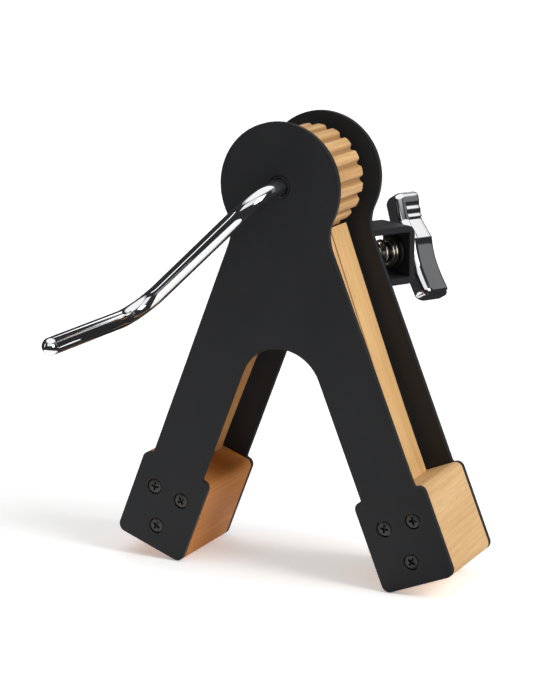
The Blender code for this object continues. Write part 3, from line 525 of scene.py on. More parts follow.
def rounded(corners, steps=8):
    """A closed outline of (x, y, radius) corners."""
    places = [corner[:2] for corner in corners]
    ends = zip(places[-1:] + places[:-1], corners, places[1:] + places[:1])
    return np.concatenate([
        fillet(before, corner[:2], after, corner[2], steps) for before, corner, after in ends
    ])


print(len(rounded([(0, 0, 1), (9, 0, 1), (9, 9, 1), (0, 9, 1)])), "points round a square with soft corners")


# %% Filling an outline
def wound(loop, left=True):
    """The loop with its inside on the left, or on the right for a hole: its signed area tells which."""
    x, y = loop.T
    area = np.sum(x * np.roll(y, -1) - y * np.roll(x, -1))
    return loop if (area > 0) == left else loop[::-1]


def inwards(loop):
    """A step of one millimetre into the material at each point: the mitre of its two edges' left sides."""
    edge = np.roll(loop, -1, 0) - loop
    edge = edge / np.linalg.norm(edge, axis=1, keepdims=True)
    left = np.stack([-edge[:, 1], edge[:, 0]], 1)
    before = np.roll(left, 1, 0)
    return (left + before) / (1 + np.sum(left * before, 1, keepdims=True))


def inside(points, loops):
    """Whether a line to the right from each point crosses the loops an odd number of times."""
    crossings = np.zeros(len(points), int)
    for loop in loops:
        a, b = loop, np.roll(loop, -1, 0)
        between = (a[None, :, 1] > points[:, None, 1]) != (b[None, :, 1] > points[:, None, 1])
        rise = np.where(a[:, 1] == b[:, 1], 1, b[:, 1] - a[:, 1])
        at = a[:, 0] + (points[:, None, 1] - a[:, 1]) / rise * (b[:, 0] - a[:, 0])
        crossings += np.sum(between & (at > points[:, None, 0]), 1)
    return crossings % 2 == 1


def filled(loops, inner):
    """Triangles inside the first loop and outside the others, as numbers of the loops' and inner points."""
    starts = np.cumsum([0] + [len(loop) for loop in loops])
    edges = np.concatenate([
        np.stack([np.arange(len(loop)), np.roll(np.arange(len(loop)), -1)], 1) + start
        for loop, start in zip(loops, starts)
    ])
    points = np.concatenate([*loops, inner])
    _, _, found, origin, _, _ = delaunay_2d_cdt(points.tolist(), edges.tolist(), [], 0, 1e-9)
    number = np.array([first[0] if first else -1 for first in origin])
    triangles = number[np.array(found)]
    return triangles[inside(points[triangles].mean(1), loops)]


print(len(filled([circle(9), wound(circle(3), False)], np.empty((0, 2)))), "triangles fill a washer's face")

# %% Slabs
CAP_STEP = 0.3


def cap_points(loops, border, cell, inward):
    """Points inside the loops: a copy of each loop just past its border, and a grid of cells."""
    rings = [loop + (border + CAP_STEP) * inward(loop) for loop in loops]
    ends = zip(rings[0].min(0), rings[0].max(0))
    grid = np.stack(np.meshgrid(*[np.arange(*pair, cell) for pair in ends]), -1).reshape(-1, 2)
    clear = inside(grid, [loop + (border + cell) * inward(loop) for loop in loops])
    return np.concatenate([*rings, grid[clear]])


def slab(loops, depth, rim=0.4, steps=4, axes=(0, 2, 1), rows=(), cell=None, back=None, inward=inwards):
    """A flat outline with holes, as thick as depth, with its edges rounded.

    At a turn t from nothing to a quarter, the edge lies rim * (1 - sin t) inside the outline and
    rim * (1 - cos t) under the face; back gives the two numbers for the other face where they differ. Axes
    say which of x, y and z the outline's two directions and its thickness become. With a cell, the faces get
    a grid of points, so that they can be bent afterwards.
    """
    back_inset, back_height = back or (rim, rim)
    turn = np.linspace(0, np.pi / 2, steps + 1)
    middle = np.array(sorted({back_height + rim - depth / 2, depth / 2 - 2 * rim, *rows}, reverse=True))
    inset = np.concatenate([rim * (1 - np.sin(turn)), 0 * middle, back_inset * (1 - np.sin(turn[::-1]))])
    height = np.concatenate([
        depth / 2 - rim * (1 - np.cos(turn)), middle, back_height * (1 - np.cos(turn[::-1])) - depth / 2
    ])
    loops = [wound(loop, number == 0) for number, loop in enumerate(loops)]
    points, walls, rings, start = [], [], [[], []], 0
    for loop in loops:
        ring = loop + inset[:, None, None] * inward(loop)
        levels = np.broadcast_to(height[:, None, None], (*ring.shape[:2], 1))
        points.append(np.concatenate([ring, levels], 2).reshape(-1, 3))
        walls.append(grid_faces(len(inset), len(loop)) + start)
        rings[0].append(start + np.arange(len(loop)))
        rings[1].append(start + (len(inset) - 1) * len(loop) + np.arange(len(loop)))
        start += len(inset) * len(loop)
    caps = []
    for border, level, ring in ((rim, depth / 2, rings[0]), (back_inset, -depth / 2, rings[1])):
        inner = cap_points(loops, border, cell, inward) if cell else np.empty((0, 2))
        number = np.concatenate([*ring, start + np.arange(len(inner))])
        corners = number[filled([loop + border * inward(loop) for loop in loops], inner)]
        caps.append((corners if level > 0 else corners[:, ::-1], cell is None))
        points.append(np.column_stack([inner, np.full(len(inner), level)]))
        start += len(inner)
    made = np.empty((start, 3))
    made[:, list(axes)] = np.concatenate(points)
    return made, [(np.concatenate(walls), False), *caps]


# %% [markdown]
# ## The two plates
#
# Both plates are cut from one drawing: a round head on the shaft, a neck, two legs and two square feet.
# Boxes and cylinders could be joined for this, but one outline keeps every curve smooth. The right half
# is drawn point by point round the leg and then mirrored. Three countersunk holes in each foot take
# screws.

# %% Plates
PLATE_THICKNESS, PLATE_RIM, BLOCK_WIDTH, SEAT_GAP = 3.0, 0.35, 51.1, 0.3
FRAME_HALF = BLOCK_WIDTH / 2 + SEAT_GAP + PLATE_THICKNESS
HEAD_RADIUS, NECK_FILLET, CROTCH_RADIUS = 35.0, 22.0, 25.0
LEG_ANGLE, LEG_HALF_WIDTH, FOOT_HALF_WIDTH = np.radians(21.5), 16.5, 21.75
FOOT_START, FOOT_END = 174.0, 225.67
SHOULDER_RADIUS, SHOULDER_FILLET, TOE_RADIUS = 4.0, 1.2, 4.5
SCREW_PLACES = {"outer": (8.9, -191.4), "inner": (-8.9, -191.4), "lower": (0.0, -212.5)}
SCREW_HOLE_RADIUS, BUSH_HOLE_RADIUS = 4.5, 6.21


def leg_point(along, across):
    """A point of the right leg: along it from the shaft, and across it outwards."""
    sine, cosine = np.sin(LEG_ANGLE), np.cos(LEG_ANGLE)
    return np.array([along * sine + across * cosine, across * sine - along * cosine])


def plate_outline():
    """The crotch's arc, the foot's six corners, the neck's arc and the head's arc, then the same mirrored.

    The neck's circle touches the head and the leg, so its place along the leg is the third side of a right
    triangle.
    """
    crotch_depth = (LEG_HALF_WIDTH + CROTCH_RADIUS) / np.sin(LEG_ANGLE)
    crotch = arc((0, -crotch_depth), CROTCH_RADIUS, np.pi / 2, LEG_ANGLE, 24)
    neck_along = np.sqrt((HEAD_RADIUS + NECK_FILLET) ** 2 - (LEG_HALF_WIDTH + NECK_FILLET) ** 2)
    neck_centre = leg_point(neck_along, LEG_HALF_WIDTH + NECK_FILLET)
    head_start = np.arctan2(neck_centre[1], neck_centre[0])
    neck = arc(neck_centre, NECK_FILLET, LEG_ANGLE - np.pi, head_start - np.pi, 20)
    head = arc((0, 0), HEAD_RADIUS, head_start, np.pi / 2, 72)
    corners = (
        (FOOT_START, -LEG_HALF_WIDTH, SHOULDER_FILLET), (FOOT_START, -FOOT_HALF_WIDTH, SHOULDER_RADIUS),
        (FOOT_END, -FOOT_HALF_WIDTH, TOE_RADIUS), (FOOT_END, FOOT_HALF_WIDTH, TOE_RADIUS),
        (FOOT_START, FOOT_HALF_WIDTH, SHOULDER_RADIUS), (FOOT_START, LEG_HALF_WIDTH, SHOULDER_FILLET),
    )
    path = [crotch[-1], *[leg_point(along, across) for along, across, _ in corners], neck[0]]
    foot = [fillet(*path[k:k + 3], corners[k][2]) for k in range(len(corners))]
    right = np.concatenate([crotch, *foot, neck, head[1:]])
    left = right[-2:0:-1] * (-1, 1)
    return np.concatenate([right, left])


def screw_spots():
    """(leg's side, name, x, z) of the six screws of a plate, in the plate's plane."""
    for side in (-1, 1):
        for name, (across, height) in SCREW_PLACES.items():
            x, z = leg_point(-height, across)
            yield side, name, side * x, z


screw_holes = [circle(SCREW_HOLE_RADIUS, 40, (x, z)) for _, _, x, z in screw_spots()]
plate = slab([plate_outline(), circle(BUSH_HOLE_RADIUS), *screw_holes], PLATE_THICKNESS, PLATE_RIM)
for name, side in (("front_plate", -1), ("rear_plate", 1)):
    plate_frame = on_shaft(np.eye(3), side * (FRAME_HALF - PLATE_THICKNESS / 2))
    make_piece(name, "frame", [plate], plate_frame, POWDER_COAT)

# %% [markdown]
# ## Turned pieces
#
# Bushes, washers, spacers and screws come from a lathe. A Screw modifier could spin a profile; here a
# profile of radius and height is carried round an axis as one array, so the same few lines close it.
# Where the profile starts or ends on the axis, the ring of points shrinks to one pole.

# %% Lathe
ALONG_X = np.array([[0, 0, 1], [0, 1, 0], [-1, 0, 0]], float)
ALONG_Y = np.array([[1, 0, 0], [0, 0, 1], [0, -1, 0]], float)
ALONG_MINUS_X, ALONG_MINUS_Y = ALONG_X.T, ALONG_Y.T


def turned(radius, height, angle):
    """Rings of points: x = radius cos a, y = radius sin a, z = height."""
    return np.stack([radius * np.cos(angle), radius * np.sin(angle), height + 0 * angle], -1)


def with_poles(rings, start=None, end=None):
    """A closed shell of rings of points, shut by a pole at either end, or joined end to end without poles."""
    rows, columns = rings.shape[:2]
    points = rings.reshape(-1, 3)
    if start is None:
        return points, [(grid_faces(rows, columns, True), False)]
    ring, ring_next = np.arange(columns), np.roll(np.arange(columns), -1)
    last = (rows - 1) * columns
    fans = np.concatenate([
        np.stack([ring, ring_next, 0 * ring + len(points)], 1),
        np.stack([last + ring_next, last + ring, 0 * ring + len(points) + 1], 1),
    ])
    return np.concatenate([points, [start, end]]), [(grid_faces(rows, columns), False), (fans, False)]


def lathe(profile, around=64, ring=True):
    """Each (radius, height) of a profile at every angle; a ring's is closed, any other ends on the axis."""
    profile = np.array(profile, float)
    rings = turned(profile[:, :1], profile[:, 1:], full_turn(around))
    if ring:
        return with_poles(rings)
    return with_poles(rings[1:-1], (0, 0, profile[0, 1]), (0, 0, profile[-1, 1]))


def sleeve(inner, outer, start, end, soft=0.2):
    """A ring with softened edges."""
    corners = [(outer, end, soft), (outer, start, soft), (inner, start, soft), (inner, end, soft)]
    return lathe(rounded(corners, 4))


print(len(sleeve(3, 5, 0, 1)[0]), "points in a washer")

# %% Bushes, spacers and washers on the shaft
ROD_RADIUS, SHAFT_HOLE_RADIUS, BUSH_RADIUS = 4.7625, 5.0125, 5.9125
FLANGE_START, FLANGE_END, FLANGE_RADIUS = 3.3, 4.8, 9.0
GEAR_WIDTH, SPACER_WALL = 32.3, 2.0
SPACER_LENGTH = FRAME_HALF - FLANGE_END - GEAR_WIDTH / 2 - 2 * SEAT_GAP
WASHER_RADIUS, WASHER_START, WASHER_END = 9.0, 0.3, 1.3

bush = lathe(rounded([
    (FLANGE_RADIUS, FLANGE_END, 0.3), (FLANGE_RADIUS, FLANGE_START, 0.3), (BUSH_RADIUS, FLANGE_START, 0.1),
    (BUSH_RADIUS, 0, 0.25), (SHAFT_HOLE_RADIUS, 0, 0.25), (SHAFT_HOLE_RADIUS, FLANGE_END, 0.2),
], 4))
spacer = sleeve(SHAFT_HOLE_RADIUS, SHAFT_HOLE_RADIUS + SPACER_WALL, 0, SPACER_LENGTH)
for name, side, facing in (("front", -1, ALONG_Y), ("rear", 1, ALONG_MINUS_Y)):
    make_piece(f"{name}_bush", "frame", [bush], on_shaft(facing, side * FRAME_HALF), NYLON)
    spacer_frame = on_shaft(facing, side * (FRAME_HALF - FLANGE_END - SEAT_GAP))
    make_piece(f"{name}_spacer", "crank", [spacer], spacer_frame, NYLON)

washer = sleeve(SHAFT_HOLE_RADIUS, WASHER_RADIUS, WASHER_START, WASHER_END)
make_piece("thrust_washer", "crank", [washer], on_shaft(ALONG_Y, FRAME_HALF), ZINC)

# %% [markdown]
# The retaining ring is a flat C of spring steel in the shaft's groove. It has a mouth, so a lathe can't
# turn it. Its outline is one arc out and one arc back, and the mouth points down.

# %% Retaining ring
RING_INNER, RING_RADIUS, RING_HALF_MOUTH = 4.1625, 7.4, np.radians(25)
RING_START, RING_THICKNESS, RING_RIM = 1.6, 1.2, 0.15
ring_outline = np.concatenate([
    arc((0, 0), RING_RADIUS, RING_HALF_MOUTH, 2 * np.pi - RING_HALF_MOUTH, 64),
    arc((0, 0), RING_INNER, 2 * np.pi - RING_HALF_MOUTH, RING_HALF_MOUTH, 64),
])
retaining_ring = slab([ring_outline], RING_THICKNESS, RING_RIM)
ring_frame = on_shaft(ALONG_X, FRAME_HALF + RING_START + RING_THICKNESS / 2)
make_piece("retaining_ring", "crank", [retaining_ring], ring_frame, ZINC)

# %% [markdown]
# ## Screws
#
# The heads lie just under the face of the plates, so only their tops show: a black disc with a cross
# recess and a dark gap round it. A Boolean could cut the cross, but the top is simpler as a height on a
# polar grid. A point's depth inside the cross is the larger of its depths inside the two arms, and a
# steep ramp of that depth makes the walls of the recess.

# %% Screws
HEAD_SINK, HEAD_DOME, HEAD_RADIUS_SEEN, RECESS_REACH, RECESS_DEPTH = 0.45, 0.25, 3.85, 2.4, 1.9
ARM_HALF_WIDTH, ARM_END_HALF_WIDTH, WALL = 0.80, 0.52, 0.24
SCREW_BODY, SCREW_POINT = ((1.9, -2.7), (1.9, -16), (1.2, -17.6), (0.3, -19.6)), -20
SCREW_TURNS = np.radians([12, 62, 38, 80, 5, 29, 51, 17, 70, 44, 33, 8])


def screw(turn, around=96):
    """A polar grid whose height falls into the recess, carried on down a cone, a shank and a point."""
    radius = np.concatenate([np.linspace(0.08, 2.72, 34), [2.9, 3.2, 3.5, 3.7]])[:, None]
    angle = full_turn(around)[None]
    x, y = abs(radius * np.cos(angle + turn)), abs(radius * np.sin(angle + turn))
    taper = (ARM_HALF_WIDTH - ARM_END_HALF_WIDTH) / RECESS_REACH
    one = np.minimum(ARM_HALF_WIDTH - taper * x - y, RECESS_REACH - x)
    other = np.minimum(ARM_HALF_WIDTH - taper * y - x, RECESS_REACH - y)
    into = np.clip(np.maximum(one, other) / WALL, 0, 1)
    dome = HEAD_DOME * (radius / HEAD_RADIUS_SEEN) ** 2
    height = -HEAD_SINK - dome - RECESS_DEPTH * into ** 1.5 * (1 - 0.45 * radius / RECESS_REACH)
    edge = -HEAD_SINK - HEAD_DOME
    profile = np.array([
        (HEAD_RADIUS_SEEN - 0.04, edge - 0.03), (HEAD_RADIUS_SEEN, edge - 0.12),
        (HEAD_RADIUS_SEEN, edge - 0.25), *SCREW_BODY,
    ])
    rings = np.concatenate([turned(radius, height, angle), turned(profile[:, :1], profile[:, 1:], angle)])
    return with_poles(rings, (0, 0, -HEAD_SINK - RECESS_DEPTH), (0, 0, SCREW_POINT))


screw_turns = iter(SCREW_TURNS)
for plate_name, side, facing in (("front", -1, ALONG_MINUS_Y), ("rear", 1, ALONG_Y)):
    for leg_side, spot, x, z in screw_spots():
        name = f"{plate_name}_{'left' if leg_side < 0 else 'right'}_{spot}_screw"
        screw_frame = placed(facing, SHAFT + np.array([x, side * FRAME_HALF, z]) * MM)
        make_piece(name, "frame", [screw(next(screw_turns))], screw_frame, BLACK_SCREW)

# %% [markdown]
# ## Foot blocks
#
# Each foot is a wooden block between the plates, with corners rounded like the plates' feet and a narrow
# pocket on top for the tongues. A Boolean could cut the pocket; here the block is a slab, one cell of its
# top is left out, and the pocket is built down from that cell's corners, which leaves a clean mesh.

# %% Foot blocks
TONGUE_THICKNESS, TONGUE_WIDTH, TONGUE_SPLIT = 4.9, 20.5, 1.4
SLOT_DEPTH, SLOT_PLAY = 12.0, 0.4
SLOT_HALF, SLOT_REACH = TONGUE_THICKNESS / 2 + SLOT_PLAY, TONGUE_WIDTH + TONGUE_SPLIT / 2 + SEAT_GAP
BLOCK_RIM, BLOCK_GRAIN_TURN = 0.4, np.radians(2)


def leg_frame(side):
    """The leg's axes: x across it, y along the shaft and z up towards the shaft."""
    angle = -side * LEG_ANGLE
    turn = [[np.cos(angle), 0, np.sin(angle)], [0, 1, 0], [-np.sin(angle), 0, np.cos(angle)]]
    return placed(turn, SHAFT)


def pocketed(shell, top):
    """The shell with the cell of its top over the slot swapped for a pocket's four walls and floor."""
    points, faces = shell
    walls = faces[0][0]
    centre = points[walls].mean(1)
    over = (abs(centre - (0, 0, top)) < (SLOT_HALF, SLOT_REACH, 0.01)).all(1)
    mouth = walls[over][0]
    floor_points = points[mouth] - (0, 0, SLOT_DEPTH)
    low = len(points) + np.arange(4)
    sides = np.stack([mouth, np.roll(mouth, -1), np.roll(low, -1), low], 1)
    pocket = np.concatenate([sides, low[None]])
    return np.concatenate([points, floor_points]), [(walls[~over], False), (pocket, True), *faces[1:]]


block_outline = np.concatenate([
    fillet((FOOT_HALF_WIDTH, -FOOT_END), (FOOT_HALF_WIDTH, -FOOT_START), (0, -FOOT_START), SHOULDER_RADIUS),
    [(SLOT_HALF, -FOOT_START), (-SLOT_HALF, -FOOT_START)],
    fillet((0, -FOOT_START), (-FOOT_HALF_WIDTH, -FOOT_START), (-FOOT_HALF_WIDTH, -FOOT_END), SHOULDER_RADIUS),
    fillet((-FOOT_HALF_WIDTH, 0), (-FOOT_HALF_WIDTH, -FOOT_END), (0, -FOOT_END), TOE_RADIUS),
    fillet((0, -FOOT_END), (FOOT_HALF_WIDTH, -FOOT_END), (FOOT_HALF_WIDTH, 0), TOE_RADIUS),
])
block = pocketed(slab([block_outline], BLOCK_WIDTH, BLOCK_RIM, rows=(SLOT_REACH, -SLOT_REACH)), -FOOT_START)
grain_cosine, grain_sine = np.cos(BLOCK_GRAIN_TURN), np.sin(BLOCK_GRAIN_TURN)
block_grain = [[1, 0, 0], [0, -grain_sine, grain_cosine], [0, grain_cosine, grain_sine]]
for name, side, wood in (("left", -1, LEFT_BLOCK_SHADED_WOOD), ("right", 1, RIGHT_BLOCK_WOOD)):
    foot = make_piece(f"{name}_foot_block", "frame", [block], leg_frame(side), wood)
    set_grain(foot, leg_frame(side), block_grain, (side * 60 + 9, 35, side * 140))

# %% [markdown]
# ## Tongues
#
# Each tongue is a thin strip held in its block and pushed aside at the gear. A straight strip could be
# bent with a modifier, but a beam held at one end has a known shape, s * s * (3 - s) / 2, where s runs
# from the block to the tip. The fibre runs along the strip, which is what makes it springy.

# %% Tongues
GEAR_TIP_RADIUS, TIP_GAP, TONGUE_BEND, TONGUE_RIM = 29.2, 0.35, 3.9, 0.35


def tongue_outline(steps=40):
    """Both edges of the bent strip, half its thickness to either side of the beam's curve."""
    free = FOOT_START - GEAR_TIP_RADIUS - TIP_GAP
    share = np.linspace(0, 1, steps + 1)
    aside = TONGUE_BEND * share * share * (3 - share) / 2
    slope = np.arctan(TONGUE_BEND / free * (3 * share - 1.5 * share * share))
    height = share * free - FOOT_START
    across = TONGUE_THICKNESS / 2 * np.stack([np.cos(slope), -np.sin(slope)], 1)
    line = np.stack([aside, height], 1)
    foot = SEAT_GAP - SLOT_DEPTH - FOOT_START
    left, right = line - across, line + across
    return np.concatenate([[(left[0, 0], foot)], left, right[::-1], [(right[0, 0], foot)]])


strip = slab([tongue_outline()], TONGUE_WIDTH, TONGUE_RIM)
for leg_name, leg_side, wood in (("left", -1, LEFT_TONGUE_SHADED_WOOD), ("right", 1, RIGHT_TONGUE_WOOD)):
    for row_name, row in (("front", -1), ("rear", 1)):
        name = f"{leg_name}_{row_name}_tongue"
        beside = shifted(strip, (0, row * (TONGUE_SPLIT + TONGUE_WIDTH) / 2, 0))
        tongue = make_piece(name, name, [beside], leg_frame(leg_side), wood)
        grain_shift = (leg_side * 80 + row * 31, row * 57, leg_side * 200 + row * 90)
        set_grain(tongue, leg_frame(leg_side), np.eye(3), grain_shift)

# %% [markdown]
# ## Gear and pin
#
# The gear's edge is a row of soft lobes: a round crown, and an S-shaped flank down into a narrow notch. A
# cross pin locks it on the bar, driven in through a bore from its rim. Modelled lobe by lobe the gear
# would take long; one radius for every angle gives them all. Only the bore is cut by a Boolean, and the
# cut is made final at once.

# %% Gear
GEAR_TEETH, TOOTH_DEPTH, GEAR_PHASE, GEAR_RIM = 20, 2.2, np.radians(-17.5), 0.55
CROWN_FALL, FLANK_START, FLANK_END = 0.18, 0.46, 0.92
DEEPEST_VALLEY, FACE_SHADE = 1.4, 0.3
PIN_RADIUS, PIN_START, PIN_END, PIN_SOFT = 2.0, -8.7625, 26.2, 0.4
PIN_PLAY, PIN_HOLE_START, DRILL_REACH = 0.25, -9.2, 40.0


def gear_outline(steps=24):
    """The radius is the tip radius less depth * fall, where d runs from -1 to 1 across each tooth.

    The fall is a little of d * d for the round crown, and the rest is an S-shaped step t * t * (3 - 2 * t)
    for the flank, with t from 0 at the flank's start to 1 at its end.
    """
    step = np.arange(GEAR_TEETH * steps)
    from_crown = abs(2 * (step % steps) / steps - 1)
    t = np.clip((from_crown - FLANK_START) / (FLANK_END - FLANK_START), 0, 1)
    fall = CROWN_FALL * from_crown ** 2 + (1 - CROWN_FALL) * t * t * (3 - 2 * t)
    radius = GEAR_TIP_RADIUS - TOOTH_DEPTH * fall
    angle = GEAR_PHASE + 2 * np.pi * step / len(step)
    return np.stack([radius * np.cos(angle), radius * np.sin(angle)], 1)


def drill(radius, start, end, centre=0.0, upright=True):
    """A cylinder that bores a hole: upright at a place along x, or lying along x."""
    bit = lathe([(0, end), (radius, end), (radius, start), (0, start)], 64, ring=False)
    return shifted(bit, (centre, 0, 0)) if upright else (bit[0] @ ALONG_X.T, bit[1])


def drilled(piece, drills, place):
    """The piece with holes bored by closed shells; the Boolean is worked out now, so a plain mesh is left."""
    for bit in drills:
        cutter = bpy.data.objects.new("drill", mesh_from("drill", [outward(*bit)], place))
        bpy.context.scene.collection.objects.link(cutter)
        bore = piece.modifiers.new("bore", "BOOLEAN")
        bore.object = cutter
        bpy.context.view_layer.update()
        graph = bpy.context.evaluated_depsgraph_get()
        mesh = bpy.data.meshes.new_from_object(piece.evaluated_get(graph))
        piece.modifiers.clear()
        old, piece.data = piece.data, mesh
        bpy.data.meshes.remove(old)
        bpy.data.objects.remove(cutter)
    piece.data.set_sharp_from_angle(angle=SHARP_ANGLE)
    print(piece.name, "bored", len(drills), "times")


shaft_frame = placed(np.eye(3), SHAFT)
gear_shell = slab([gear_outline(), circle(SHAFT_HOLE_RADIUS)], GEAR_WIDTH, GEAR_RIM)
gear = make_piece("ratchet_gear", "crank", [gear_shell], shaft_frame, GEAR_WOOD)
drilled(gear, [drill(PIN_RADIUS + PIN_PLAY, PIN_HOLE_START, -DRILL_REACH, upright=False)], shaft_frame)
set_grain(gear, shaft_frame, [[1, 0, 0], [0, 0, 1], [0, 1, 0]], (13, 41, 77))
# Painted shade: each point gets how deep it lies in a notch, or a fixed share on the end faces, to darken it.
from_shaft = np.linalg.norm(own_points(gear, shaft_frame)[:, [0, 2]], axis=1)
sunk = (GEAR_TIP_RADIUS - from_shaft) / TOOTH_DEPTH
valley_shade = np.where(sunk < DEEPEST_VALLEY, np.clip(sunk, 0, 1), FACE_SHADE)
gear.data.attributes.new("valley_shade", "FLOAT", "POINT").data.foreach_set("value", valley_shade)

pin_side = rounded([(PIN_RADIUS, PIN_END, PIN_SOFT), (PIN_RADIUS, PIN_START, PIN_SOFT), (0, PIN_START, 0)], 4)
pin = lathe([(0, PIN_END), *pin_side[:-1], (0, PIN_START)], 32, ring=False)
make_piece("gear_pin", "crank", [pin], placed(ALONG_MINUS_X, SHAFT), ZINC)

# %% [markdown]
# ## Crank
#
# The crank is one chrome bar, bent twice: shaft, arm and handle. A curve with a bevel could draw it, but
# the groove and the rounded end need a radius that changes along it. So its circle is carried along a
# path of straight runs and quarter bends. The path lies in one plane, and the plane's own direction keeps
# the circle from twisting.

# %% Crank
CRANK_RADIUS, CRANK_DROP, CRANK_STANDOFF, CRANK_HANDLE, CRANK_BEND = 104.2, np.radians(43), 20.0, 95.0, 20.0
SHAFT_TAIL, TAIL_CHAMFER, END_REACH, END_TURN = 6.0, 0.8, 4.69, np.radians(88)
GROOVE_START, GROOVE_WIDTH, GROOVE_DEPTH, GROOVE_EDGE = 1.3, 1.8, 0.9, 0.05
SHAFT_MIDDLE = 20.0


def tube(path, side, radius, around=64):
    """A circle carried along a path: path + radius * (cos a * side + sin a * (tangent x side))."""
    tangent = np.gradient(path, axis=0)
    tangent /= np.linalg.norm(tangent, axis=1, keepdims=True)
    side = side - np.sum(tangent * side, 1, keepdims=True) * tangent
    side /= np.linalg.norm(side, axis=1, keepdims=True)
    angle = full_turn(around)[None, :, None]
    spoke = np.cos(angle) * side[:, None] + np.sin(angle) * np.cross(tangent, side)[:, None]
    rings = path[:, None] + np.broadcast_to(radius, len(path))[:, None, None] * spoke
    return with_poles(rings, path[0], path[-1])


def crank_path():
    """(points, radii, plane) of the bar from its tail to its rounded end; a bend is a quarter circle."""
    forward = np.array([0, -1, 0])
    arm = np.array([-np.cos(CRANK_DROP), 0, -np.sin(CRANK_DROP)])
    corners = [forward * (FRAME_HALF + CRANK_STANDOFF)]
    corners.append(corners[0] + arm * CRANK_RADIUS)
    turn = np.linspace(0, np.pi / 2, 33)[:, None]
    bends = [
        corner - before * CRANK_BEND * (1 - np.sin(turn)) + after * CRANK_BEND * (1 - np.cos(turn))
        for corner, before, after in zip(corners, (forward, arm), (arm, forward))
    ]
    groove = FRAME_HALF + GROOVE_START
    groove_end, tail_end = groove + GROOVE_WIDTH, FRAME_HALF + SHAFT_TAIL
    waist = 1 - GROOVE_DEPTH / ROD_RADIUS
    tail = np.array([
        (tail_end, 1 - TAIL_CHAMFER / ROD_RADIUS), (tail_end - TAIL_CHAMFER, 1),
        (groove_end + GROOVE_EDGE, 1), (groove_end, 1), (groove_end - GROOVE_EDGE, waist),
        (groove + GROOVE_EDGE, waist), (groove, 1), (groove - GROOVE_EDGE, 1),
        (SHAFT_MIDDLE, 1), (-SHAFT_MIDDLE, 1),
    ])
    turn = np.linspace(0, END_TURN, 20)
    end = corners[1] + forward * (CRANK_HANDLE - ROD_RADIUS)
    dome = end + forward * (END_REACH * np.sin(turn))[:, None]
    run = np.linspace(0.02, 0.98, 24)[:, None]
    between = bends[0][-1] + run * (bends[1][0] - bends[0][-1])
    handle = bends[1][-1] + run * (end - bends[1][-1])
    path = np.concatenate([-forward * tail[:, :1], bends[0], between, bends[1], handle, dome])
    share = np.concatenate([tail[:, 1], np.ones(len(path) - len(tail) - len(turn)), np.cos(turn)])
    return path, share * ROD_RADIUS, np.cross(forward, arm)


bar_path, bar_radius, bar_plane = crank_path()
make_piece("crank_rod", "crank", [tube(bar_path, bar_plane, bar_radius)], shaft_frame, CHROME)

# %% [markdown]
# ## Stand clamp
#
# A black U-shaped strap is welded to the rear plate, turned 30 degrees aside. An upright stand rod passes
# through its arms and through an eye bolt, and the wing handle pulls the eye outwards against a spring.
# Everything here is drawn in the clamp's frame: x runs along the bolt from the outside of the strap, and
# z is up. That way only one frame is turned, and every formula stays square. A bead of weld runs where
# each arm meets the plate, under the paint; it is a tube whose radius ripples.

# %% Strap
STRAP_WIDTH, STRAP_THICKNESS, STRAP_HEIGHT, STRAP_BEND = 25.4, 3.8, 33.2, 1.2
STRAP_BACK, STRAP_RIM, BUSH_DRILL_REACH = -80.0, 0.45, 8.0
STAND_HOLE_RADIUS, BOLT_RADIUS, BOLT_HOLE_RADIUS = 5.7625, 3.175, 3.425
BUSH_BARREL, EYE_CENTRE = 4.625, -31.71
WELD_LENGTH, WELD_RADIUS, WELD_PITCH, WELD_RIPPLE = 23.4, 1.5, 1.3, 0.09
clamp_turn = np.stack([CLAMP_AXIS, (-CLAMP_AXIS[1], CLAMP_AXIS[0], 0), (0, 0, 1)], 1)
clamp_frame = placed(clamp_turn, CLAMP)


def along_plate(across, gap):
    """How far back the rear plate's face is at a place across the strap, with a gap left before it."""
    plate_face = (SHAFT[1] - CLAMP[1]) / MM + FRAME_HALF + gap
    return (plate_face - across * CLAMP_AXIS[0]) / CLAMP_AXIS[1]


def strap_shell():
    """A U carried across the strap's width; the arms' ends follow the slanted plane of the rear plate."""
    half, inner, back = STRAP_HEIGHT / 2, STRAP_HEIGHT / 2 - STRAP_THICKNESS, STRAP_BACK
    bend = STRAP_BEND + STRAP_THICKNESS
    outline = rounded([
        (back, half, 0), (0, half, bend), (0, -half, bend), (back, -half, 0), (back, -inner, 0),
        (-STRAP_THICKNESS, -inner, STRAP_BEND), (-STRAP_THICKNESS, inner, STRAP_BEND), (back, inner, 0),
    ])
    points, faces = slab([outline], STRAP_WIDTH, STRAP_RIM)
    slanted = along_plate(points[:, 1], SEAT_GAP)
    points[:, 0] = np.where(points[:, 0] < back / 2, slanted + (points[:, 0] - back), points[:, 0])
    return points, faces


def weld(side, steps=240):
    """A bead where an arm meets the plate; its radius swells with each ripple and falls at its ends."""
    across = np.linspace(-0.5, 0.5, steps) * WELD_LENGTH
    path = np.stack([along_plate(across, 0), across, np.full(steps, side * STRAP_HEIGHT / 2)], 1)
    ripple = 1 + WELD_RIPPLE * np.cos(2 * np.pi * across / WELD_PITCH)
    ends = np.sqrt(np.clip(1 - (2 * across / WELD_LENGTH) ** 12, 0.01, 1))
    return tube(path, np.array([0, 0, 1.0]), WELD_RADIUS * ripple * ends, 24)


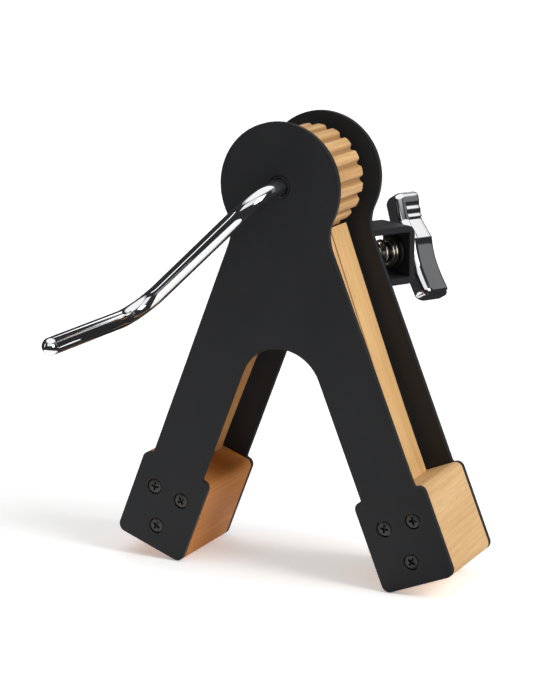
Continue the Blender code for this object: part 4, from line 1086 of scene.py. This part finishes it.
strap = make_piece("mount_bracket", "frame", [strap_shell()], clamp_frame, POWDER_COAT)
stand_drill = drill(STAND_HOLE_RADIUS, -DRILL_REACH, DRILL_REACH, EYE_CENTRE)
bush_drill = drill(BUSH_BARREL + SEAT_GAP, -BUSH_DRILL_REACH, BUSH_DRILL_REACH, upright=False)
drilled(strap, [stand_drill, bush_drill], clamp_frame)
make_piece("bracket_weld", "frame", [weld(1), weld(-1)], clamp_frame, POWDER_COAT)

# %% Bush and washers
SPRING_FACE, SPRING_END, BOLT_OUTSIDE = -5.9, -22.6, 10.0
CLAMP_FLANGE_RADIUS, CLAMP_FLANGE = 8.6, 1.8
CLAMP_WASHER_RADIUS, CLAMP_WASHER_START, CLAMP_WASHER_END = 8.5, 0.3, 1.1
SPRING_WASHER_RADIUS, SPRING_WASHER_START = 8.2, SPRING_END - 0.8
bolt_frame = placed(clamp_turn @ ALONG_X, CLAMP)

clamp_bush = lathe(rounded([
    (BUSH_BARREL, 0, 0.25), (BUSH_BARREL, SPRING_FACE + CLAMP_FLANGE, 0.1),
    (CLAMP_FLANGE_RADIUS, SPRING_FACE + CLAMP_FLANGE, 0.3), (CLAMP_FLANGE_RADIUS, SPRING_FACE, 0.3),
    (BOLT_HOLE_RADIUS, SPRING_FACE, 0.2), (BOLT_HOLE_RADIUS, 0, 0.2),
], 4))
clamp_washer = sleeve(BOLT_HOLE_RADIUS, CLAMP_WASHER_RADIUS, CLAMP_WASHER_START, CLAMP_WASHER_END)
spring_washer = sleeve(BOLT_HOLE_RADIUS, SPRING_WASHER_RADIUS, SPRING_WASHER_START, SPRING_END)
make_piece("clamp_bush", "frame", [clamp_bush], bolt_frame, NYLON)
make_piece("clamp_washer", "frame", [clamp_washer], bolt_frame, ZINC)
make_piece("spring_washer", "eye", [spring_washer], bolt_frame, ZINC)

# %% Eye bolt
EYE_HOLE_RADIUS, EYE_WALL, EYE_HALF = 5.2125, 2.8, 3.2
THREAD_PITCH, THREAD_DEPTH, THREAD_START, THREAD_RUN_IN = 1.27, 0.35, -5.0, 1.0
BOLT_CHAMFER, BOLT_TIP_SHARE = 0.8, 0.8


def eye_shells():
    """A rounded ring for the rod, and a shank whose radius dips with height and angle to make a thread."""
    eye_radius = EYE_HOLE_RADIUS + EYE_WALL
    eye = lathe(rounded([
        (eye_radius, EYE_HALF, 1.0), (eye_radius, -EYE_HALF, 1.0),
        (EYE_HOLE_RADIUS, -EYE_HALF, 0.6), (EYE_HOLE_RADIUS, EYE_HALF, 0.6),
    ], 6), 96)
    along = np.linspace(EYE_CENTRE + EYE_HOLE_RADIUS + EYE_WALL / 2, BOLT_OUTSIDE, 360)[:, None]
    angle = full_turn(48)[None]
    saw = abs(2 * np.mod(along / THREAD_PITCH - angle / (2 * np.pi), 1) - 1)
    cut = np.clip((along - THREAD_START) / THREAD_RUN_IN, 0, 1)
    tip = np.clip((BOLT_OUTSIDE - along) / BOLT_CHAMFER, 0, 1)
    radius = (BOLT_RADIUS - THREAD_DEPTH * saw * cut) * (BOLT_TIP_SHARE + (1 - BOLT_TIP_SHARE) * tip)
    rings = np.stack([along + 0 * angle, radius * np.cos(angle), radius * np.sin(angle)], -1)
    shank = with_poles(rings, (along[0, 0], 0, 0), (along[-1, 0], 0, 0))
    return [shifted(eye, (EYE_CENTRE, 0, 0)), shank]


make_piece("eye_bolt", "eye", eye_shells(), clamp_frame, ZINC)

# %% [markdown]
# ## Spring
#
# The spring is a wire wound on a helix: close turns at both ends and open ones between, which a Screw
# modifier can't vary. The wire's circle is carried along the helix, with the direction away from the axis
# as its side. When the clamp is pulled tight the real spring shortens; here the spring is joined to the
# eye, as the washer that rides on it is, and has a mesh of its own.

# %% Spring
SPRING_WIRE, SPRING_RADIUS, CLOSE_PITCH, OPEN_PITCH = 1.8, 7.1, 2.3, 4.85
WEB_TURNS, OPEN_TURNS, EYE_TURNS = 1.5, 2.0, 0.5


def spring_path(steps=72):
    """Along the axis the wire drops by the close or the open pitch a turn."""
    turns = WEB_TURNS + OPEN_TURNS + EYE_TURNS
    turn = np.linspace(0, turns, int(turns * steps) + 1)
    opened = np.clip(turn - WEB_TURNS, 0, OPEN_TURNS)
    along = (turn - opened) * CLOSE_PITCH + opened * OPEN_PITCH
    angle = 2 * np.pi * turn
    away = np.stack([0 * angle, np.cos(angle), np.sin(angle)], 1)
    start = SPRING_FACE - SEAT_GAP - SPRING_WIRE / 2
    return np.stack([start - along, 0 * angle, 0 * angle], 1) + SPRING_RADIUS * away, away


coil, away = spring_path()
wire = tube(coil, away, SPRING_WIRE / 2, 24)
spring = make_piece("clamp_spring", "eye", [wire], clamp_frame, SPRING_STEEL)
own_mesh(spring)

# %% [markdown]
# ## Wing handle
#
# The wing is one chrome casting: two thick lobes that lean outwards, a round crest over the bolt, and
# ribs for the thumb. It could be sculpted, but seen along the bolt it is an outline whose two sides are
# the same, half a turn apart, so a formula draws it. The outline is carried over soft rims, a wide one on
# the inner face; then every point leans outwards with the square of its height, and on the thumb's side
# it sinks by a saw-tooth that fades out before the inner rim. A bore takes the bolt, and a flat boss
# meets the washer.

# %% Wing outline
WING_TURN, WING_CENTRE = np.radians(-27.5), np.array([0, 1.1, 1.8])
WING_HALF_LENGTH, WING_DEPTH, WING_CORNER, WING_RIM, WING_LEAN, WING_FACE = 31.8, 16.15, 4.5, 1.8, 2.8, 1.6
CREST, CREST_HEIGHT, HOLLOW, HOLLOW_HEIGHT, PAD = 10.1, 2.0, 7.4, -14.0, 8.0
RIBS, RIB_OUT, RIB_TOP, RIB_PITCH, RIB_FALL, RIB_DEPTH = 3, 6.0, 25.2, 4.7, 2.6, 0.8


def thumb_side(height, depth=0.0):
    """How far the thumb's side stands out at each height over the middle.

    Teeth of a depth, then a ramp down to the crest; under it two parabolas make the hollow and the pad.
    """
    edge = RIB_TOP - RIB_PITCH * np.arange(RIBS)
    root = edge - np.where(np.arange(RIBS) < RIBS - 1, RIB_FALL, RIB_FALL / 2)
    corners = np.stack([edge, root], 1).ravel()[::-1]
    above = np.interp(height, [CREST_HEIGHT, *corners], [CREST, *(RIB_OUT - depth * np.tile([1, 0], RIBS))])
    up = (CREST - HOLLOW) * ((height - HOLLOW_HEIGHT) / (CREST_HEIGHT - HOLLOW_HEIGHT)) ** 2
    foot_height = WING_CORNER - WING_HALF_LENGTH
    down = (PAD - HOLLOW) * ((height - HOLLOW_HEIGHT) / (foot_height - HOLLOW_HEIGHT)) ** 2
    below = HOLLOW + np.where(height > HOLLOW_HEIGHT, up, down)
    return np.where(height > CREST_HEIGHT, above, below)


def softened(side, height, *depth, reach=0.4):
    """The side averaged over a little height, so that its corners are as soft as a casting's."""
    return np.mean([side(height + offset, *depth) for offset in np.linspace(-reach, reach, 9)], 0)


def wing_outline():
    """The thumb's side from top to foot without its ribs, and the same turned half round."""
    top = WING_HALF_LENGTH
    height = np.linspace(top - WING_CORNER, WING_CORNER - top, 240)[1:-1]
    side = np.stack([-softened(thumb_side, height), height], 1)
    crown = fillet((0, top), (-RIB_OUT, top), (-RIB_OUT, 0), WING_CORNER, 12)
    toe = fillet((-PAD, 0), (-PAD, -top), (0, -top), WING_CORNER, 12)
    half_turn = np.concatenate([crown, side, toe])
    return np.concatenate([half_turn, -half_turn])


print(len(wing_outline()), "points round the wing")

# %% Wing
INNER_RIM, INNER_RIM_HEIGHT = 3.6, 5.0
RIB_REACH, RIB_SOFT, FADE_START, FADE_LENGTH = 2.0, 0.15, 0.2, 0.6
BOSS_RADIUS, BOSS_START, BOSS_END, BOSS_PLAY, BORE_END = 5.6, 1.4, 2.8, 0.2, 15.3


def across_wing(loop):
    """A step inwards at the corners, and straight across on the long sides, so the crest doesn't fold."""
    straight = np.stack([-np.sign(loop[:, 0]), 0 * loop[:, 0]], 1)
    return np.where(abs(loop[:, 1:]) < WING_HALF_LENGTH - WING_CORNER, straight, inwards(loop))


def ribbed(points):
    """Points near the thumb's side of each lobe, sunk into the ribs; inside the inner rim they stay."""
    x, y, z = points.T
    side, height = np.where(z > 0, -1, 1), abs(z)
    plain = softened(thumb_side, height)
    sunk = plain - softened(thumb_side, height, RIB_DEPTH, reach=RIB_SOFT)
    under = np.clip(1 - (plain - side * y - WING_RIM) / RIB_REACH, 0, 1)
    fade = np.clip((x + WING_DEPTH / 2 - INNER_RIM_HEIGHT - FADE_START) / FADE_LENGTH, 0, 1)
    return points - np.stack([0 * x, side * sunk * under * fade, 0 * x], 1)


def leaning(points):
    """Outwards by the lean times the square of the height's share of the half length."""
    lean = WING_LEAN * (points[:, 2] / WING_HALF_LENGTH) ** 2
    return points + np.stack([lean, 0 * lean, 0 * lean], 1)


wing_turn = clamp_turn @ np.array([
    [1, 0, 0], [0, np.cos(WING_TURN), -np.sin(WING_TURN)], [0, np.sin(WING_TURN), np.cos(WING_TURN)]
])
wing_frame = placed(wing_turn, CLAMP)
fade_rows = tuple(np.arange(INNER_RIM_HEIGHT + 0.1, INNER_RIM_HEIGHT + 1.0, 0.15) - WING_DEPTH / 2)
blade, blade_faces = slab(
    [wing_outline()], WING_DEPTH, WING_RIM, 12, axes=(1, 2, 0), rows=fade_rows, cell=1.2,
    back=(INNER_RIM, INNER_RIM_HEIGHT), inward=across_wing)
blade = leaning(ribbed(blade)) + WING_CENTRE + (WING_FACE + WING_DEPTH / 2, 0, 0)
wing = make_piece("wing_handle", "wing", [(blade, blade_faces)], wing_frame, CHROME)
drilled(wing, [drill(BOLT_HOLE_RADIUS, 0, BORE_END, upright=False)], wing_frame)
boss = sleeve(BOLT_HOLE_RADIUS + BOSS_PLAY, BOSS_RADIUS, BOSS_START, BOSS_END)
make_piece("wing_boss", "wing", [boss], bolt_frame, CHROME)
